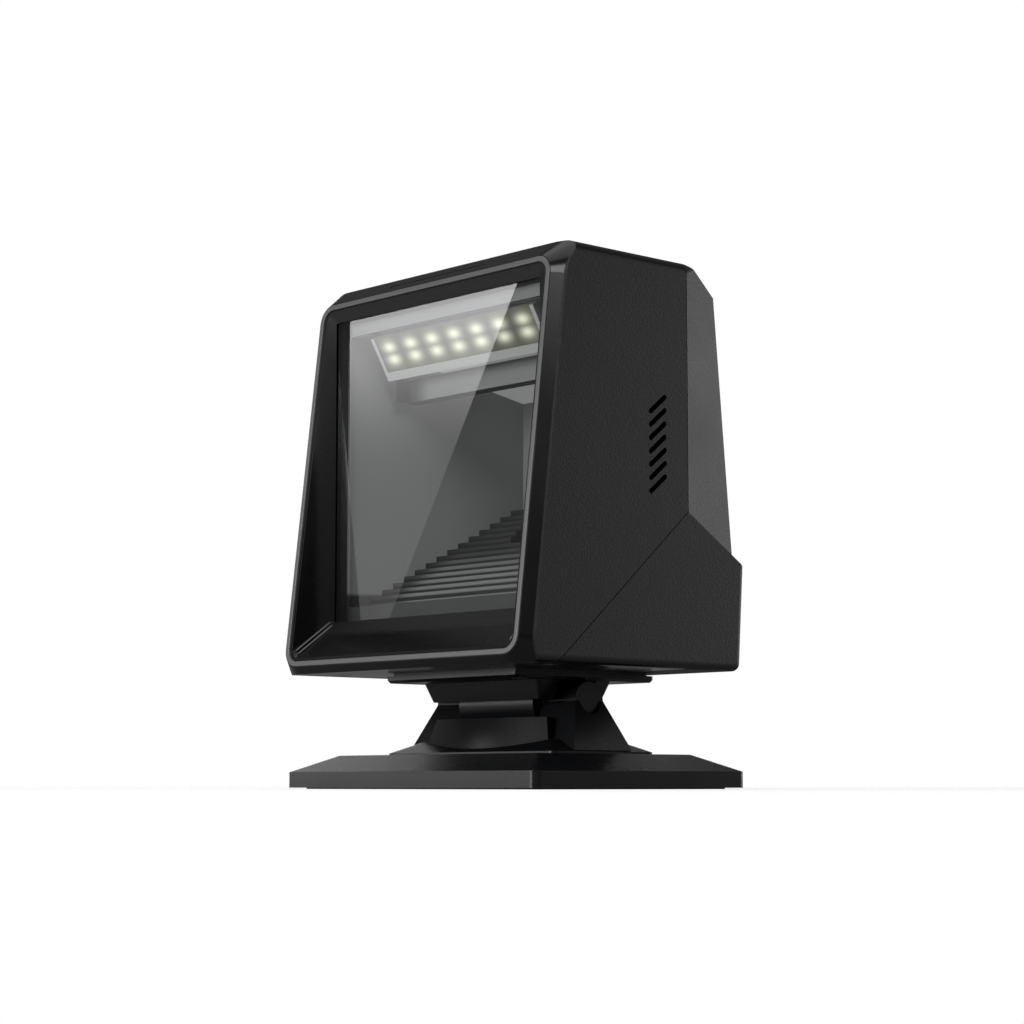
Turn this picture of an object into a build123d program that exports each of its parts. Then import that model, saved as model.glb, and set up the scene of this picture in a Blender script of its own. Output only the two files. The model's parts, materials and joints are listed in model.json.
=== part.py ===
from build123d import *

import math
import os

# Desk-top presentation barcode scanner: a leaning, windowed scanning head on a
# tilting stand. Millimetres. +Z is up, the window faces -Y, and the origin is the
# centre of the stand's underside. The right side is +X.

# ---------------------------------------------------------------- driving sizes
HEAD_W = 120.0  # overall width of the head
HEAD_BOTTOM = 37.0  # height of the head's flat bottom
HEAD_TOP = 166.0  # height of the head's flat top
LEAN = 6.76  # backward lean of the front, degrees
FRONT_FOOT_Y = -53.95  # where the leaning front would meet the desk
WALL = 2.2  # housing wall
FRONT_WALL = 4.0  # thickness of the front frame of the housing

PARTING_Y = 20.0  # upright parting line between the two housings
PARTING_Z = 86.0  # height where the parting line turns forward
PARTING_SLOPE = 0.87  # fall of the lower parting line per unit of depth
SHOULDER_SLOPE = 0.615  # fall of the lower bulge's shoulder per unit of depth
FACET_SLOPE = 0.21  # narrowing of the rear facets per unit of depth
REAR_TOP_Y = 35.8  # top rear edge
REAR_TOP_Z = 156.5
REAR_MID_Y = 46.2  # rearmost edge of the bulge
REAR_MID_Z = 69.8
REAR_FOOT_Y = 44.0  # bottom rear edge

RIM_W = 112.8  # light trim ring around the front
RIM_MID_Z = 100.1
RIM_H = 122.2
RIM_BAND = 1.8
RIM_CORNER = 6.0
RIM_DEPTH = 1.4
RIM_PROUD = 0.3

WINDOW_W = 100.0  # opening of the upright window
WINDOW_LOW = 54.5
WINDOW_HIGH = 154.5
WINDOW_Y = -33.4  # front face of the glass
GLASS_T = 2.0
TAPE_T = 0.5
GLASS_MARGIN = 2.2  # how far the glass runs past its opening

PLATE_W = 120.0  # stand plate
PLATE_D = 90.6
PLATE_EDGE = 5.5  # height of the upright edge
PLATE_TOP = 10.8
PLATE_SLOPE_RUN = 12.0
PAD_PROUD = 0.4

HINGE_Y = 2.7  # tilt axis, along X
HINGE_Z = 27.5
PIN_R = 2.5
BUSH_R = 4.5
RUNNING_GAP = 0.05
BARREL_R = 10.0
BARREL_HALF = 17.7
ARM_IN = 18.6  # arms of the pedestal, at the top
ARM_OUT = 33.0
ARM_R = 6.0
SCREW_R = 1.5  # M3
SMALL_SCREW_R = 1.25  # M2.5
SCREW_FIT = 0.05  # added to a screw's radius for the hole it bites into
SCREW_PASS = 0.15  # added to a screw's radius for the hole it passes through
SCREW_HEAD_R = 2.8
SCREW_SINK_R = 3.0  # hole that takes a screw's head
SINK_ANGLE = 42.0  # slope of a countersunk head
SMALL_HEAD_R = 2.3
SMALL_HEAD_T = 1.6
HEX_R = 1.3  # socket in a screw's head

MOUNT_W = 63.0  # plate under the head
MOUNT_FRONT = -26.8
MOUNT_REAR = 33.5
MOUNT_T = 3.0

os.makedirs("parts", exist_ok=True)


def front_y(z):
    """Depth of the leaning front plane at a height."""
    return FRONT_FOOT_Y + z * math.tan(math.radians(LEAN))


def front_plane(out=0.0):
    """Plane of the front, facing forward, moved outward by the amount given."""
    lean = math.radians(LEAN)
    normal = Vector(0, -math.cos(lean), math.sin(lean))
    middle = Vector(0, front_y(RIM_MID_Z), RIM_MID_Z)
    return Plane(origin=middle + normal * out, x_dir=(1, 0, 0), z_dir=normal)


def upright_plane(y, z=0.0):
    """Upright plane facing forward, with x to the right and y up."""
    return Plane(origin=(0, y, z), x_dir=(1, 0, 0), z_dir=(0, -1, 0))


def save(piece, name):
    """Name a finished piece and write its file."""
    piece.part.label = name
    export_step(piece.part, f"parts/{name}.step")


# ---------------------------------------------------------------- head envelope
def rear_wedge(inset):
    """Material taken off both rear corners above the bulge's shoulder."""
    run = math.hypot(1, FACET_SLOPE)
    near_y = PARTING_Y - 5
    far_y = PARTING_Y + 45
    near_x = HEAD_W / 2 - inset * run - FACET_SLOPE * (near_y - PARTING_Y)
    far_x = HEAD_W / 2 - inset * run - FACET_SLOPE * (far_y - PARTING_Y)
    shoulder_up = Vector(0, SHOULDER_SLOPE, 1).normalized()
    shoulder = Plane(
        origin=Vector(0, PARTING_Y, PARTING_Z) - shoulder_up * inset,
        x_dir=(1, 0, 0),
        z_dir=shoulder_up,
    )
    with BuildPart() as wedge:
        with BuildSketch():
            with BuildLine():
                Polyline(
                    (near_x, near_y),
                    (near_x + 20, near_y),
                    (near_x + 20, far_y),
                    (far_x, far_y),
                    close=True,
                )
            make_face()
            mirror(about=Plane.YZ)
        extrude(amount=HEAD_TOP + 20)
        split(bisect_by=shoulder, keep=Keep.TOP)
    return wedge.part


def head_form(inset):
    """The head's outer form, moved in by inset on every side, with plain edges."""
    half = HEAD_W / 2 - inset
    with BuildPart() as form:
        with BuildSketch(Plane.YZ.offset(-half)):
            with BuildLine():
                Polyline(
                    (front_y(HEAD_BOTTOM), HEAD_BOTTOM),
                    (front_y(HEAD_TOP), HEAD_TOP),
                    (PARTING_Y + 1, HEAD_TOP),
                    (REAR_TOP_Y, REAR_TOP_Z),
                    (REAR_MID_Y, REAR_MID_Z),
                    (REAR_FOOT_Y, HEAD_BOTTOM),
                    close=True,
                )
            make_face()
            if inset > 0:
                offset(amount=-inset, kind=Kind.INTERSECTION)
        extrude(amount=2 * half)
        add(rear_wedge(inset), mode=Mode.SUBTRACT)
    return form.part


LAND = 0.2  # flat left outside the trim ring before the bevel starts
BEVEL_DEPTH = 9.0
TOP_ROUND = 5.0
FOOT_ROUND = 2.5
REAR_ROUND = 1.2
CAVITY_ROUND = 6.5  # keeps a wall between the hollow's top corners and the bevel


def front_bevel():
    """What the bevel around the front takes off: a slab with a flared hole in it."""
    with BuildPart() as bevel:
        with BuildSketch(front_plane(1)):
            Rectangle(2 * HEAD_W, 2 * HEAD_W)
        extrude(amount=-1 - BEVEL_DEPTH + 1)
        with BuildSketch(front_plane()):
            RectangleRounded(RIM_W + 2 * LAND, RIM_H + 2 * LAND, RIM_CORNER + LAND)
        extrude(amount=-BEVEL_DEPTH, taper=-45, mode=Mode.SUBTRACT)
        with BuildSketch(front_plane(2)):
            RectangleRounded(RIM_W + 2 * LAND, RIM_H + 2 * LAND, RIM_CORNER + LAND)
        extrude(amount=-3, mode=Mode.SUBTRACT)
    return bevel.part


def outer_form():
    """The head's outer form with its rounded and bevelled edges."""
    with BuildPart() as form:
        add(head_form(0))
        sides = form.edges().filter_by(Axis.Y)
        fillet(sides.group_by(Axis.Z)[-1], radius=TOP_ROUND)
        fillet(form.edges().filter_by(Axis.Y).group_by(Axis.Z)[0], radius=FOOT_ROUND)
        lows = form.edges().filter_by(Axis.X).group_by(Axis.Z)[0]
        fillet(lows.sort_by(Axis.Y)[-1], radius=FOOT_ROUND)
        facets = form.edges().filter_by(Axis.Z)
        fillet(facets, radius=REAR_ROUND)
        add(front_bevel(), mode=Mode.SUBTRACT)
    return form.part


def cavity():
    """Hollow of the housings, behind the thick front frame."""
    with BuildPart() as hollow:
        add(head_form(WALL))
        split(bisect_by=front_plane(-FRONT_WALL), keep=Keep.BOTTOM)
        tops = hollow.edges().filter_by(Axis.Y).group_by(Axis.Z)[-1]
        fillet(tops, radius=CAVITY_ROUND)
    return hollow.part


def rear_half(gap):
    """Space behind the parting line, moved back by half of the gap between shells."""
    fall = PARTING_SLOPE * 70
    with BuildPart() as space:
        with BuildSketch(Plane.YZ.offset(-HEAD_W)):
            with BuildLine():
                Polyline(
                    (PARTING_Y + gap, HEAD_TOP + 20),
                    (PARTING_Y + gap, PARTING_Z - gap / 2),
                    (PARTING_Y - 70 + gap, PARTING_Z - fall - gap / 2),
                    (PARTING_Y - 70 + gap, -20),
                    (PARTING_Y + 60, -20),
                    (PARTING_Y + 60, HEAD_TOP + 20),
                    close=True,
                )
            make_face()
        extrude(amount=2 * HEAD_W)
    return space.part


PARTING_GAP = 0.15
whole_form = outer_form()
hollow_form = cavity()

# ---------------------------------------------------------------- housings
CLEAR = 0.1  # gap between pieces that are fixed to each other
TOP_SCREWS = [(-36.0, 150.0), (36.0, 150.0)]  # x and z
LOW_SCREWS = [(-50.0, -30.0), (50.0, -30.0)]  # x and y
MOUNT_SCREWS = [(x, y) for x in (-26.0, 26.0) for y in (-20.5, 27.0)]
BOARD_SCREWS = [(x, y) for x in (-38.0, 38.0) for y in (-18.0, 28.0)]
BOARD_Z = 43.0  # underside of the main board
BOARD_T = 1.6

VENT_COUNT = 7
VENT_PITCH = 4.15
VENT_W = 1.7
VENT_RUN = 7.6  # depth that one slot covers
VENT_RISE = 6.0
VENT_REAR_Y = 10.4  # upper end of the first slot
VENT_HIGH_Z = 121.6

STATUS_W = 47.0
STATUS_H = 1.3
STATUS_DROP = -0.8  # how far the slot sits below the middle of the bevel
JACK_X = -14.0
JACK_Z = 52.0
JACK_W = 15.6
JACK_H = 13.4

SPEAKER_Y = VENT_REAR_Y - VENT_RUN / 2
SPEAKER_Z = 106.0
SPEAKER_R = 13.0
SPEAKER_ARM = 21.0  # from the speaker's middle to a bracket screw
SPEAKER_BACK_X = 51.0
SPEAKER_SCREWS = [(SPEAKER_Y, SPEAKER_Z + s * SPEAKER_ARM) for s in (-1, 1)]
POST_R = 3.0  # posts that take the small screws
COLUMN_R = 3.4  # columns over the plate's screws
TUBE_R = 4.4  # tubes of the upper closing screws
TUBE_BORE_R = 3.1
TUBE_FLOOR = 3.0  # wall left at the inner end of a tube
TAB_W = 9.0  # tabs and bosses that take the closing screws
TAB_T = 3.0
TAB_TOP = 5.2  # from an upper screw to the top of its boss's middle


def bevel_plane(out=0.0):
    """Plane on the middle of the bevel above the window, facing out."""
    lean = math.radians(LEAN)
    edge_z = RIM_MID_Z + (RIM_H / 2 + LAND) * math.cos(lean)
    tilt = math.radians(45 - LEAN)
    rise = HEAD_TOP - edge_z
    middle = Vector(0, front_y(edge_z) + rise / math.tan(tilt) / 2, edge_z + rise / 2)
    normal = Vector(0, -math.sin(tilt), math.cos(tilt))
    return Plane(origin=middle + normal * out, x_dir=(1, 0, 0), z_dir=normal)


def drill_up(places, z, depth, radius):
    """Cut round holes upward from a height."""
    with BuildSketch(Plane.XY.offset(z)) as holes:
        with Locations(*places):
            Circle(radius)
    extrude(holes.sketch, amount=depth, mode=Mode.SUBTRACT)


with BuildPart() as front_shell:
    add(whole_form)
    add(hollow_form, mode=Mode.SUBTRACT)
    add(rear_half(-PARTING_GAP), mode=Mode.SUBTRACT)
    # tabs that reach over the rear housing's floor, for the lower closing screws
    with BuildSketch(Plane.XY.offset(HEAD_BOTTOM + WALL + 0.2)):
        with Locations(*[(x, -35.0) for x, y in LOW_SCREWS]):
            Rectangle(TAB_W, 18)
    extrude(amount=TAB_T)
    with BuildSketch(Plane.XY.offset(HEAD_BOTTOM + 1)):
        with Locations(*[(x, -41.0) for x, y in LOW_SCREWS]):
            Rectangle(TAB_W, 6)
    extrude(amount=4)
    drill_up(LOW_SCREWS, HEAD_BOTTOM + 1, 8, SCREW_R + SCREW_FIT)
    # bosses under the ceiling, for the upper closing screws
    with BuildSketch(upright_plane(8)):
        with Locations(*[(x, z + TAB_TOP) for x, z in TOP_SCREWS]):
            Rectangle(TAB_W, 18)
    extrude(amount=8 - PARTING_Y + 0.5)
    with BuildSketch(upright_plane(PARTING_Y + 1)):
        with Locations(*TOP_SCREWS):
            Circle(SCREW_R + SCREW_FIT)
    extrude(amount=11, mode=Mode.SUBTRACT)
    # posts for the sounder's bracket
    with BuildSketch(Plane.YZ.offset(SPEAKER_BACK_X)):
        with Locations(*SPEAKER_SCREWS):
            Circle(POST_R)
    extrude(amount=HEAD_W / 2 - WALL - SPEAKER_BACK_X + 0.5)
    with BuildSketch(Plane.YZ.offset(SPEAKER_BACK_X)):
        with Locations(*SPEAKER_SCREWS):
            Circle(SMALL_SCREW_R + SCREW_FIT)
    extrude(amount=5.5, mode=Mode.SUBTRACT)
    # opening for the bezel, and the rebate of the trim ring
    with BuildSketch(front_plane(5)):
        RectangleRounded(RIM_W - 2 * RIM_BAND, RIM_H - 2 * RIM_BAND, RIM_CORNER - RIM_BAND)
    extrude(amount=-5 - FRONT_WALL - 1, mode=Mode.SUBTRACT)
    with BuildSketch(front_plane(5)):
        RectangleRounded(RIM_W, RIM_H, RIM_CORNER)
    extrude(amount=-5 - RIM_DEPTH + RIM_PROUD, mode=Mode.SUBTRACT)
    # slanted vents through both sides
    with BuildSketch(Plane.YZ.offset(-HEAD_W / 2 - 1)):
        with Locations(
            *[
                (SPEAKER_Y, VENT_HIGH_Z - VENT_RISE / 2 - n * VENT_PITCH)
                for n in range(VENT_COUNT)
            ]
        ):
            SlotOverall(
                math.hypot(VENT_RUN, VENT_RISE),
                VENT_W,
                rotation=math.degrees(math.atan2(VENT_RISE, VENT_RUN)),
            )
    extrude(amount=HEAD_W + 2, mode=Mode.SUBTRACT)
    # slot for the status light
    with BuildSketch(bevel_plane(1)):
        with Locations((0, STATUS_DROP)):
            SlotOverall(STATUS_W, STATUS_H)
    extrude(amount=-8, mode=Mode.SUBTRACT)
save(front_shell, "front_shell")

with BuildPart() as rear_shell:
    add(whole_form)
    add(hollow_form, mode=Mode.SUBTRACT)
    add(rear_half(PARTING_GAP), mode=Mode.INTERSECT)
    # tubes that hold the upper closing screws
    with BuildSketch(upright_plane(REAR_TOP_Y - 0.5)):
        with Locations(*TOP_SCREWS):
            Circle(TUBE_R)
    extrude(amount=REAR_TOP_Y - 0.5 - PARTING_Y - 0.4)
    with BuildSketch(upright_plane(REAR_TOP_Y + 5)):
        with Locations(*TOP_SCREWS):
            Circle(TUBE_BORE_R)
    extrude(amount=REAR_TOP_Y + 5 - PARTING_Y - 0.4 - TUBE_FLOOR, mode=Mode.SUBTRACT)
    with BuildSketch(upright_plane(REAR_TOP_Y)):
        with Locations(*TOP_SCREWS):
            Circle(SCREW_R + SCREW_PASS)
    extrude(amount=REAR_TOP_Y - PARTING_Y + 1, mode=Mode.SUBTRACT)
    # columns for the plate's screws and posts for the main board
    with BuildSketch(Plane.XY.offset(HEAD_BOTTOM + WALL - 0.5)):
        with Locations(*MOUNT_SCREWS):
            Circle(COLUMN_R)
    extrude(amount=BOARD_Z - HEAD_BOTTOM - WALL - 0.2)
    with BuildSketch(Plane.XY.offset(HEAD_BOTTOM + WALL - 0.5)):
        with Locations(*BOARD_SCREWS):
            Circle(POST_R)
    extrude(amount=BOARD_Z - HEAD_BOTTOM - WALL + 0.5)
    drill_up(MOUNT_SCREWS, HEAD_BOTTOM - 1, 6.5, SCREW_R + SCREW_FIT)
    drill_up(BOARD_SCREWS, HEAD_BOTTOM + 1.4, 8, SMALL_SCREW_R + SCREW_FIT)
    # countersunk holes of the lower closing screws
    with BuildSketch(Plane.XY.offset(HEAD_BOTTOM)):
        with Locations(*LOW_SCREWS):
            Circle(SCREW_SINK_R)
    extrude(amount=1.4, taper=SINK_ANGLE, mode=Mode.SUBTRACT)
    drill_up(LOW_SCREWS, HEAD_BOTTOM - 1, 5, SCREW_R + SCREW_PASS)
    # opening of the cable socket
    with BuildSketch(upright_plane(REAR_MID_Y + 1)):
        with Locations((JACK_X, JACK_Z)):
            Rectangle(JACK_W + 0.6, JACK_H + 0.6)
    extrude(amount=8, mode=Mode.SUBTRACT)
save(rear_shell, "rear_shell")

with BuildPart() as shell_screws:
    # two from behind, with pan heads deep in their tubes
    with BuildSketch(upright_plane(PARTING_Y + 4)):
        with Locations(*TOP_SCREWS):
            Circle(SCREW_R)
    extrude(amount=13)
    with BuildSketch(upright_plane(PARTING_Y + 5.4)):
        with Locations(*TOP_SCREWS):
            Circle(SCREW_HEAD_R)
    extrude(amount=1.95)
    with BuildSketch(upright_plane(PARTING_Y + 5.4)):
        with Locations(*TOP_SCREWS):
            RegularPolygon(HEX_R, 6)
    extrude(amount=1.2, mode=Mode.SUBTRACT)
    # two from below, countersunk
    with BuildSketch(Plane.XY.offset(HEAD_BOTTOM + 0.1)):
        with Locations(*LOW_SCREWS):
            Circle(2.75)
    extrude(amount=1.2, taper=SINK_ANGLE)
    with BuildSketch(Plane.XY.offset(HEAD_BOTTOM + 0.1)):
        with Locations(*LOW_SCREWS):
            Circle(SCREW_R)
    extrude(amount=5)
    with BuildSketch(Plane.XY.offset(HEAD_BOTTOM + 0.1)):
        with Locations(*LOW_SCREWS):
            RegularPolygon(1.1, 6)
    extrude(amount=1, mode=Mode.SUBTRACT)
save(shell_screws, "shell_screws")

# ---------------------------------------------------------------- window
with BuildPart() as rim_trim:
    with BuildSketch(front_plane(RIM_PROUD)):
        RectangleRounded(RIM_W - CLEAR, RIM_H - CLEAR, RIM_CORNER - CLEAR / 2)
        RectangleRounded(
            RIM_W - 2 * RIM_BAND,
            RIM_H - 2 * RIM_BAND,
            RIM_CORNER - RIM_BAND,
            mode=Mode.SUBTRACT,
        )
    extrude(amount=-RIM_DEPTH + 0.05)
    fillet(rim_trim.faces().sort_by(Axis((0, 0, 0), front_plane().z_dir))[-1].edges(), 0.3)
save(rim_trim, "rim_trim")

BEZEL_RECESS = 0.4
BEZEL_T = 0.9
BEZEL_LAND = 2.4  # width of the bezel's rear face, where the glass is taped
BEZEL_REAR_Y = WINDOW_Y - TAPE_T
WINDOW_MID_Z = (WINDOW_LOW + WINDOW_HIGH) / 2
WINDOW_H = WINDOW_HIGH - WINDOW_LOW


def bezel_solid(front_in, rear_out):
    """Funnel between the leaning front opening and the upright window."""
    front_w = RIM_W - 2 * RIM_BAND - 2 * front_in
    front_h = RIM_H - 2 * RIM_BAND - 2 * front_in
    with BuildPart() as funnel:
        with BuildSketch(front_plane(-BEZEL_RECESS)):
            RectangleRounded(front_w, front_h, RIM_CORNER - RIM_BAND - front_in)
        with BuildSketch(upright_plane(BEZEL_REAR_Y, WINDOW_MID_Z)):
            RectangleRounded(WINDOW_W + 2 * rear_out, WINDOW_H + 2 * rear_out, 0.6 + rear_out / 2)
        loft(ruled=True)
    return funnel.part


with BuildPart() as front_bezel:
    add(bezel_solid(0.2, BEZEL_LAND))
    add(bezel_solid(0.2 + BEZEL_T, 0), mode=Mode.SUBTRACT)
save(front_bezel, "front_bezel")

with BuildPart() as window_tape:
    with BuildSketch(upright_plane(WINDOW_Y, WINDOW_MID_Z)):
        Rectangle(WINDOW_W + 2 * GLASS_MARGIN, WINDOW_H + 2 * GLASS_MARGIN)
        Rectangle(WINDOW_W + 0.8, WINDOW_H + 0.8, mode=Mode.SUBTRACT)
    extrude(amount=TAPE_T)
save(window_tape, "window_tape")

with BuildPart() as window_glass:
    with BuildSketch(upright_plane(WINDOW_Y + GLASS_T, WINDOW_MID_Z)):
        RectangleRounded(WINDOW_W + 2 * GLASS_MARGIN, WINDOW_H + 2 * GLASS_MARGIN, 1.5)
    extrude(amount=GLASS_T)
save(window_glass, "window_glass")

# ---------------------------------------------------------------- optics
SEAL_T = 2.8  # black frame between the glass and the tunnel's flange
FLANGE_Y = WINDOW_Y + GLASS_T + SEAL_T
FLANGE_T = 1.3
FLANGE_W = 110.0
FLANGE_LOW = 51.0
FLANGE_HIGH = 156.5
SIGHT_W = 97.4  # opening of the flange behind the glass
SIGHT_LOW = 59.7
SIGHT_HIGH = 150.4
TUNNEL_Y = FLANGE_Y + FLANGE_T
TUNNEL_REAR_Y = 31.0
TUNNEL_HALF = 49.1
TUNNEL_LOW = 54.6
TUNNEL_HIGH = 150.2
TUNNEL_REAR_HALF = 28.5
TUNNEL_REAR_LOW = 90.0
TUNNEL_REAR_HIGH = 131.8
TUNNEL_T = 1.6
EYE_Z = 112.0  # height of the camera's lens
BARREL_LENS_R = 4.0

with BuildPart() as window_seal:
    with BuildSketch(upright_plane(FLANGE_Y - CLEAR / 2, WINDOW_MID_Z)):
        RectangleRounded(WINDOW_W + 2 * GLASS_MARGIN, WINDOW_H + 2 * GLASS_MARGIN, 1.5)
        Rectangle(WINDOW_W, WINDOW_H, mode=Mode.SUBTRACT)
    extrude(amount=SEAL_T - CLEAR)
save(window_seal, "window_seal")


def tunnel_solid(grow):
    """Pyramid from the window back to the camera, grown by grow on every side."""
    with BuildPart() as pyramid:
        with BuildSketch(upright_plane(TUNNEL_Y, (TUNNEL_LOW + TUNNEL_HIGH) / 2)):
            Rectangle(2 * TUNNEL_HALF + 2 * grow, TUNNEL_HIGH - TUNNEL_LOW + 2 * grow)
        rear_middle = (TUNNEL_REAR_LOW + TUNNEL_REAR_HIGH) / 2
        rear_height = TUNNEL_REAR_HIGH - TUNNEL_REAR_LOW
        with BuildSketch(upright_plane(TUNNEL_REAR_Y + grow, rear_middle)):
            Rectangle(2 * TUNNEL_REAR_HALF + 2 * grow, rear_height + 2 * grow)
        loft(ruled=True)
    return pyramid.part


LAMP_TOP = (-27.2, 148.7)  # y and z of the lamp face's upper edge
LAMP_FOOT = (-21.0, 138.1)
LAMP_LENGTH = 76.0
LAMP_WIDTH = math.hypot(LAMP_FOOT[0] - LAMP_TOP[0], LAMP_FOOT[1] - LAMP_TOP[1])
LAMP_WALL = 1.7
LAMP_LIP = 3.1  # height of the lamp's lower wall
LAMP_GAP_DEEP = 4.5  # how far the upper wall stands back from the face
LAMP_DEEP = 7.2
LAMP_OUT = 0.3  # how far the housing stands out around the frosted cover
FROST_T = 1.2
LED_PITCH = 10.9
LED_ROWS = 4.3
LED_SIZE = 3.2
LED_FACE = -3.6  # from the lamp's face back to the LEDs


def lamp_plane(out=0.0):
    """Plane of the lamp's face, looking forward and down at what is scanned."""
    up = Vector(0, LAMP_TOP[0] - LAMP_FOOT[0], LAMP_TOP[1] - LAMP_FOOT[1]).normalized()
    normal = Vector(1, 0, 0).cross(up)
    middle = Vector(0, (LAMP_TOP[0] + LAMP_FOOT[0]) / 2, (LAMP_TOP[1] + LAMP_FOOT[1]) / 2)
    return Plane(origin=middle + normal * out, x_dir=(1, 0, 0), z_dir=normal)


with BuildPart() as optics_tunnel:
    add(tunnel_solid(TUNNEL_T))
    with BuildSketch(upright_plane(TUNNEL_Y, (FLANGE_LOW + FLANGE_HIGH) / 2)):
        RectangleRounded(FLANGE_W, FLANGE_HIGH - FLANGE_LOW, 3)
    extrude(amount=FLANGE_T)
    add(tunnel_solid(0), mode=Mode.SUBTRACT)
    with BuildSketch(upright_plane(TUNNEL_Y + 0.01, (SIGHT_LOW + SIGHT_HIGH) / 2)):
        Rectangle(SIGHT_W, SIGHT_HIGH - SIGHT_LOW)
    extrude(amount=FLANGE_T + 1, mode=Mode.SUBTRACT)
    with BuildSketch(upright_plane(TUNNEL_REAR_Y + 5, EYE_Z)):
        Circle(BARREL_LENS_R + 0.6)
    extrude(amount=8, mode=Mode.SUBTRACT)
    with BuildSketch(lamp_plane(1.5)):
        with Locations((0, (LAMP_WALL - LAMP_LIP) / 2)):
            Rectangle(LAMP_LENGTH + 2 * LAMP_WALL + 0.4, LAMP_WIDTH + LAMP_WALL + LAMP_LIP + 0.4)
    extrude(amount=-18, mode=Mode.SUBTRACT)
save(optics_tunnel, "optics_tunnel")

with BuildPart() as lamp_housing:
    with BuildSketch(lamp_plane(LAMP_OUT)):
        with Locations((0, (LAMP_WALL - LAMP_LIP) / 2)):
            Rectangle(LAMP_LENGTH + 2 * LAMP_WALL, LAMP_WIDTH + LAMP_WALL + LAMP_LIP)
    extrude(amount=-LAMP_DEEP - LAMP_OUT)
    with BuildSketch(lamp_plane(LAMP_OUT)):
        with Locations((0, LAMP_WIDTH / 2 + LAMP_WALL)):
            Rectangle(LAMP_LENGTH + 4 * LAMP_WALL, 2 * LAMP_WALL)
    extrude(amount=-LAMP_GAP_DEEP, mode=Mode.SUBTRACT)
    with BuildSketch(lamp_plane(LAMP_OUT)):
        Rectangle(LAMP_LENGTH + 0.2, LAMP_WIDTH + 0.2)
    extrude(amount=-LAMP_OUT - FROST_T, mode=Mode.SUBTRACT)
    with BuildSketch(lamp_plane(-1)):
        Rectangle(LAMP_LENGTH - 2, LAMP_WIDTH - 1.6)
    extrude(amount=-LAMP_DEEP + 2.4, mode=Mode.SUBTRACT)
save(lamp_housing, "lamp_housing")

with BuildPart() as led_diffuser:
    with BuildSketch(lamp_plane()):
        Rectangle(LAMP_LENGTH, LAMP_WIDTH)
    extrude(amount=-FROST_T)
save(led_diffuser, "led_diffuser")

with BuildPart() as led_board:
    with BuildSketch(lamp_plane(-4.4)):
        Rectangle(LAMP_LENGTH - 2.4, LAMP_WIDTH - 2)
    extrude(amount=-1.35)
save(led_board, "led_board")

with BuildPart() as leds:
    with BuildSketch(lamp_plane(LED_FACE)):
        with GridLocations(LED_PITCH, LED_ROWS, 7, 2):
            Rectangle(LED_SIZE, LED_SIZE)
    extrude(amount=-0.8)
    with BuildSketch(lamp_plane(LED_FACE)):
        with GridLocations(LED_PITCH, LED_ROWS, 7, 2):
            Circle(1.2)
    extrude(amount=0.5, taper=25)
save(leds, "leds")

SHADE_FACE_Y = -11.8
SHADE_LOW = 128.8
SHADE_HIGH = 136.6
SHADE_HALF = 39.0
with BuildPart() as light_shade:
    with BuildSketch(upright_plane(-6, (SHADE_LOW + SHADE_HIGH) / 2)):
        Rectangle(2 * SHADE_HALF + 3, SHADE_HIGH - SHADE_LOW)
    extrude(amount=11)
    with BuildSketch(upright_plane(SHADE_FACE_Y, (SHADE_LOW + SHADE_HIGH) / 2)):
        Rectangle(2 * SHADE_HALF, SHADE_HIGH - SHADE_LOW + 2)
    extrude(amount=8, mode=Mode.SUBTRACT)
    with BuildSketch(Plane.XY.offset(SHADE_LOW + 1.4)):
        with Locations((0, -8.2)):
            Rectangle(2 * SHADE_HALF, 4.4)
    extrude(amount=10, mode=Mode.SUBTRACT)
save(light_shade, "light_shade")

# the stair of louvres on the tunnel's floor
STEP_Y = -21.0
STEP_Z = 63.4
STEP_RUN = 3.66
STEP_RISE = 2.39
STEP_COUNT = 14
STEP_LIP = 0.6  # height of the shadow groove under each nose
STEP_GROOVE = 1.3
TOE_Y = -26.0
TOE_Z = 59.6


def floor_z(y):
    """Height of the tunnel's floor at a depth."""
    slope = (TUNNEL_REAR_LOW - TUNNEL_LOW) / (TUNNEL_REAR_Y - TUNNEL_Y)
    return TUNNEL_LOW + slope * (y - TUNNEL_Y)


def stair_points():
    """Outline of the stair seen from the side, from its toe to its back."""
    last_y = STEP_Y + STEP_COUNT * STEP_RUN
    points = [(TOE_Y, floor_z(TOE_Y) + 0.1), (TOE_Y, TOE_Z), (STEP_Y - 1, TOE_Z)]
    for n in range(STEP_COUNT):
        y = STEP_Y + n * STEP_RUN
        top = STEP_Z + n * STEP_RISE
        foot = TOE_Z if n == 0 else top - STEP_RISE
        if n > 0:
            points += [(y + STEP_GROOVE, foot), (y + STEP_GROOVE, foot + STEP_LIP)]
            points += [(y, foot + STEP_LIP)]
        else:
            points += [(y, foot)]
        points += [(y, top)]
    top = STEP_Z + (STEP_COUNT - 1) * STEP_RISE
    points += [(last_y, top), (last_y, floor_z(last_y) + 0.1)]
    return points


with BuildPart() as stepped_baffle:
    with BuildSketch(Plane.YZ.offset(-TUNNEL_HALF)):
        with BuildLine():
            Polyline(*stair_points(), close=True)
        make_face()
    extrude(amount=2 * TUNNEL_HALF)
    add(tunnel_solid(-CLEAR), mode=Mode.INTERSECT)
    # notch that keeps the camera's view down to the scanning zone clear
    with BuildSketch(Plane.XY):
        with BuildLine():
            Polyline((-9, 6), (9, 6), (22, 40), (-22, 40), close=True)
        make_face()
    extrude(amount=HEAD_TOP, mode=Mode.SUBTRACT)
save(stepped_baffle, "stepped_baffle")

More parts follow.
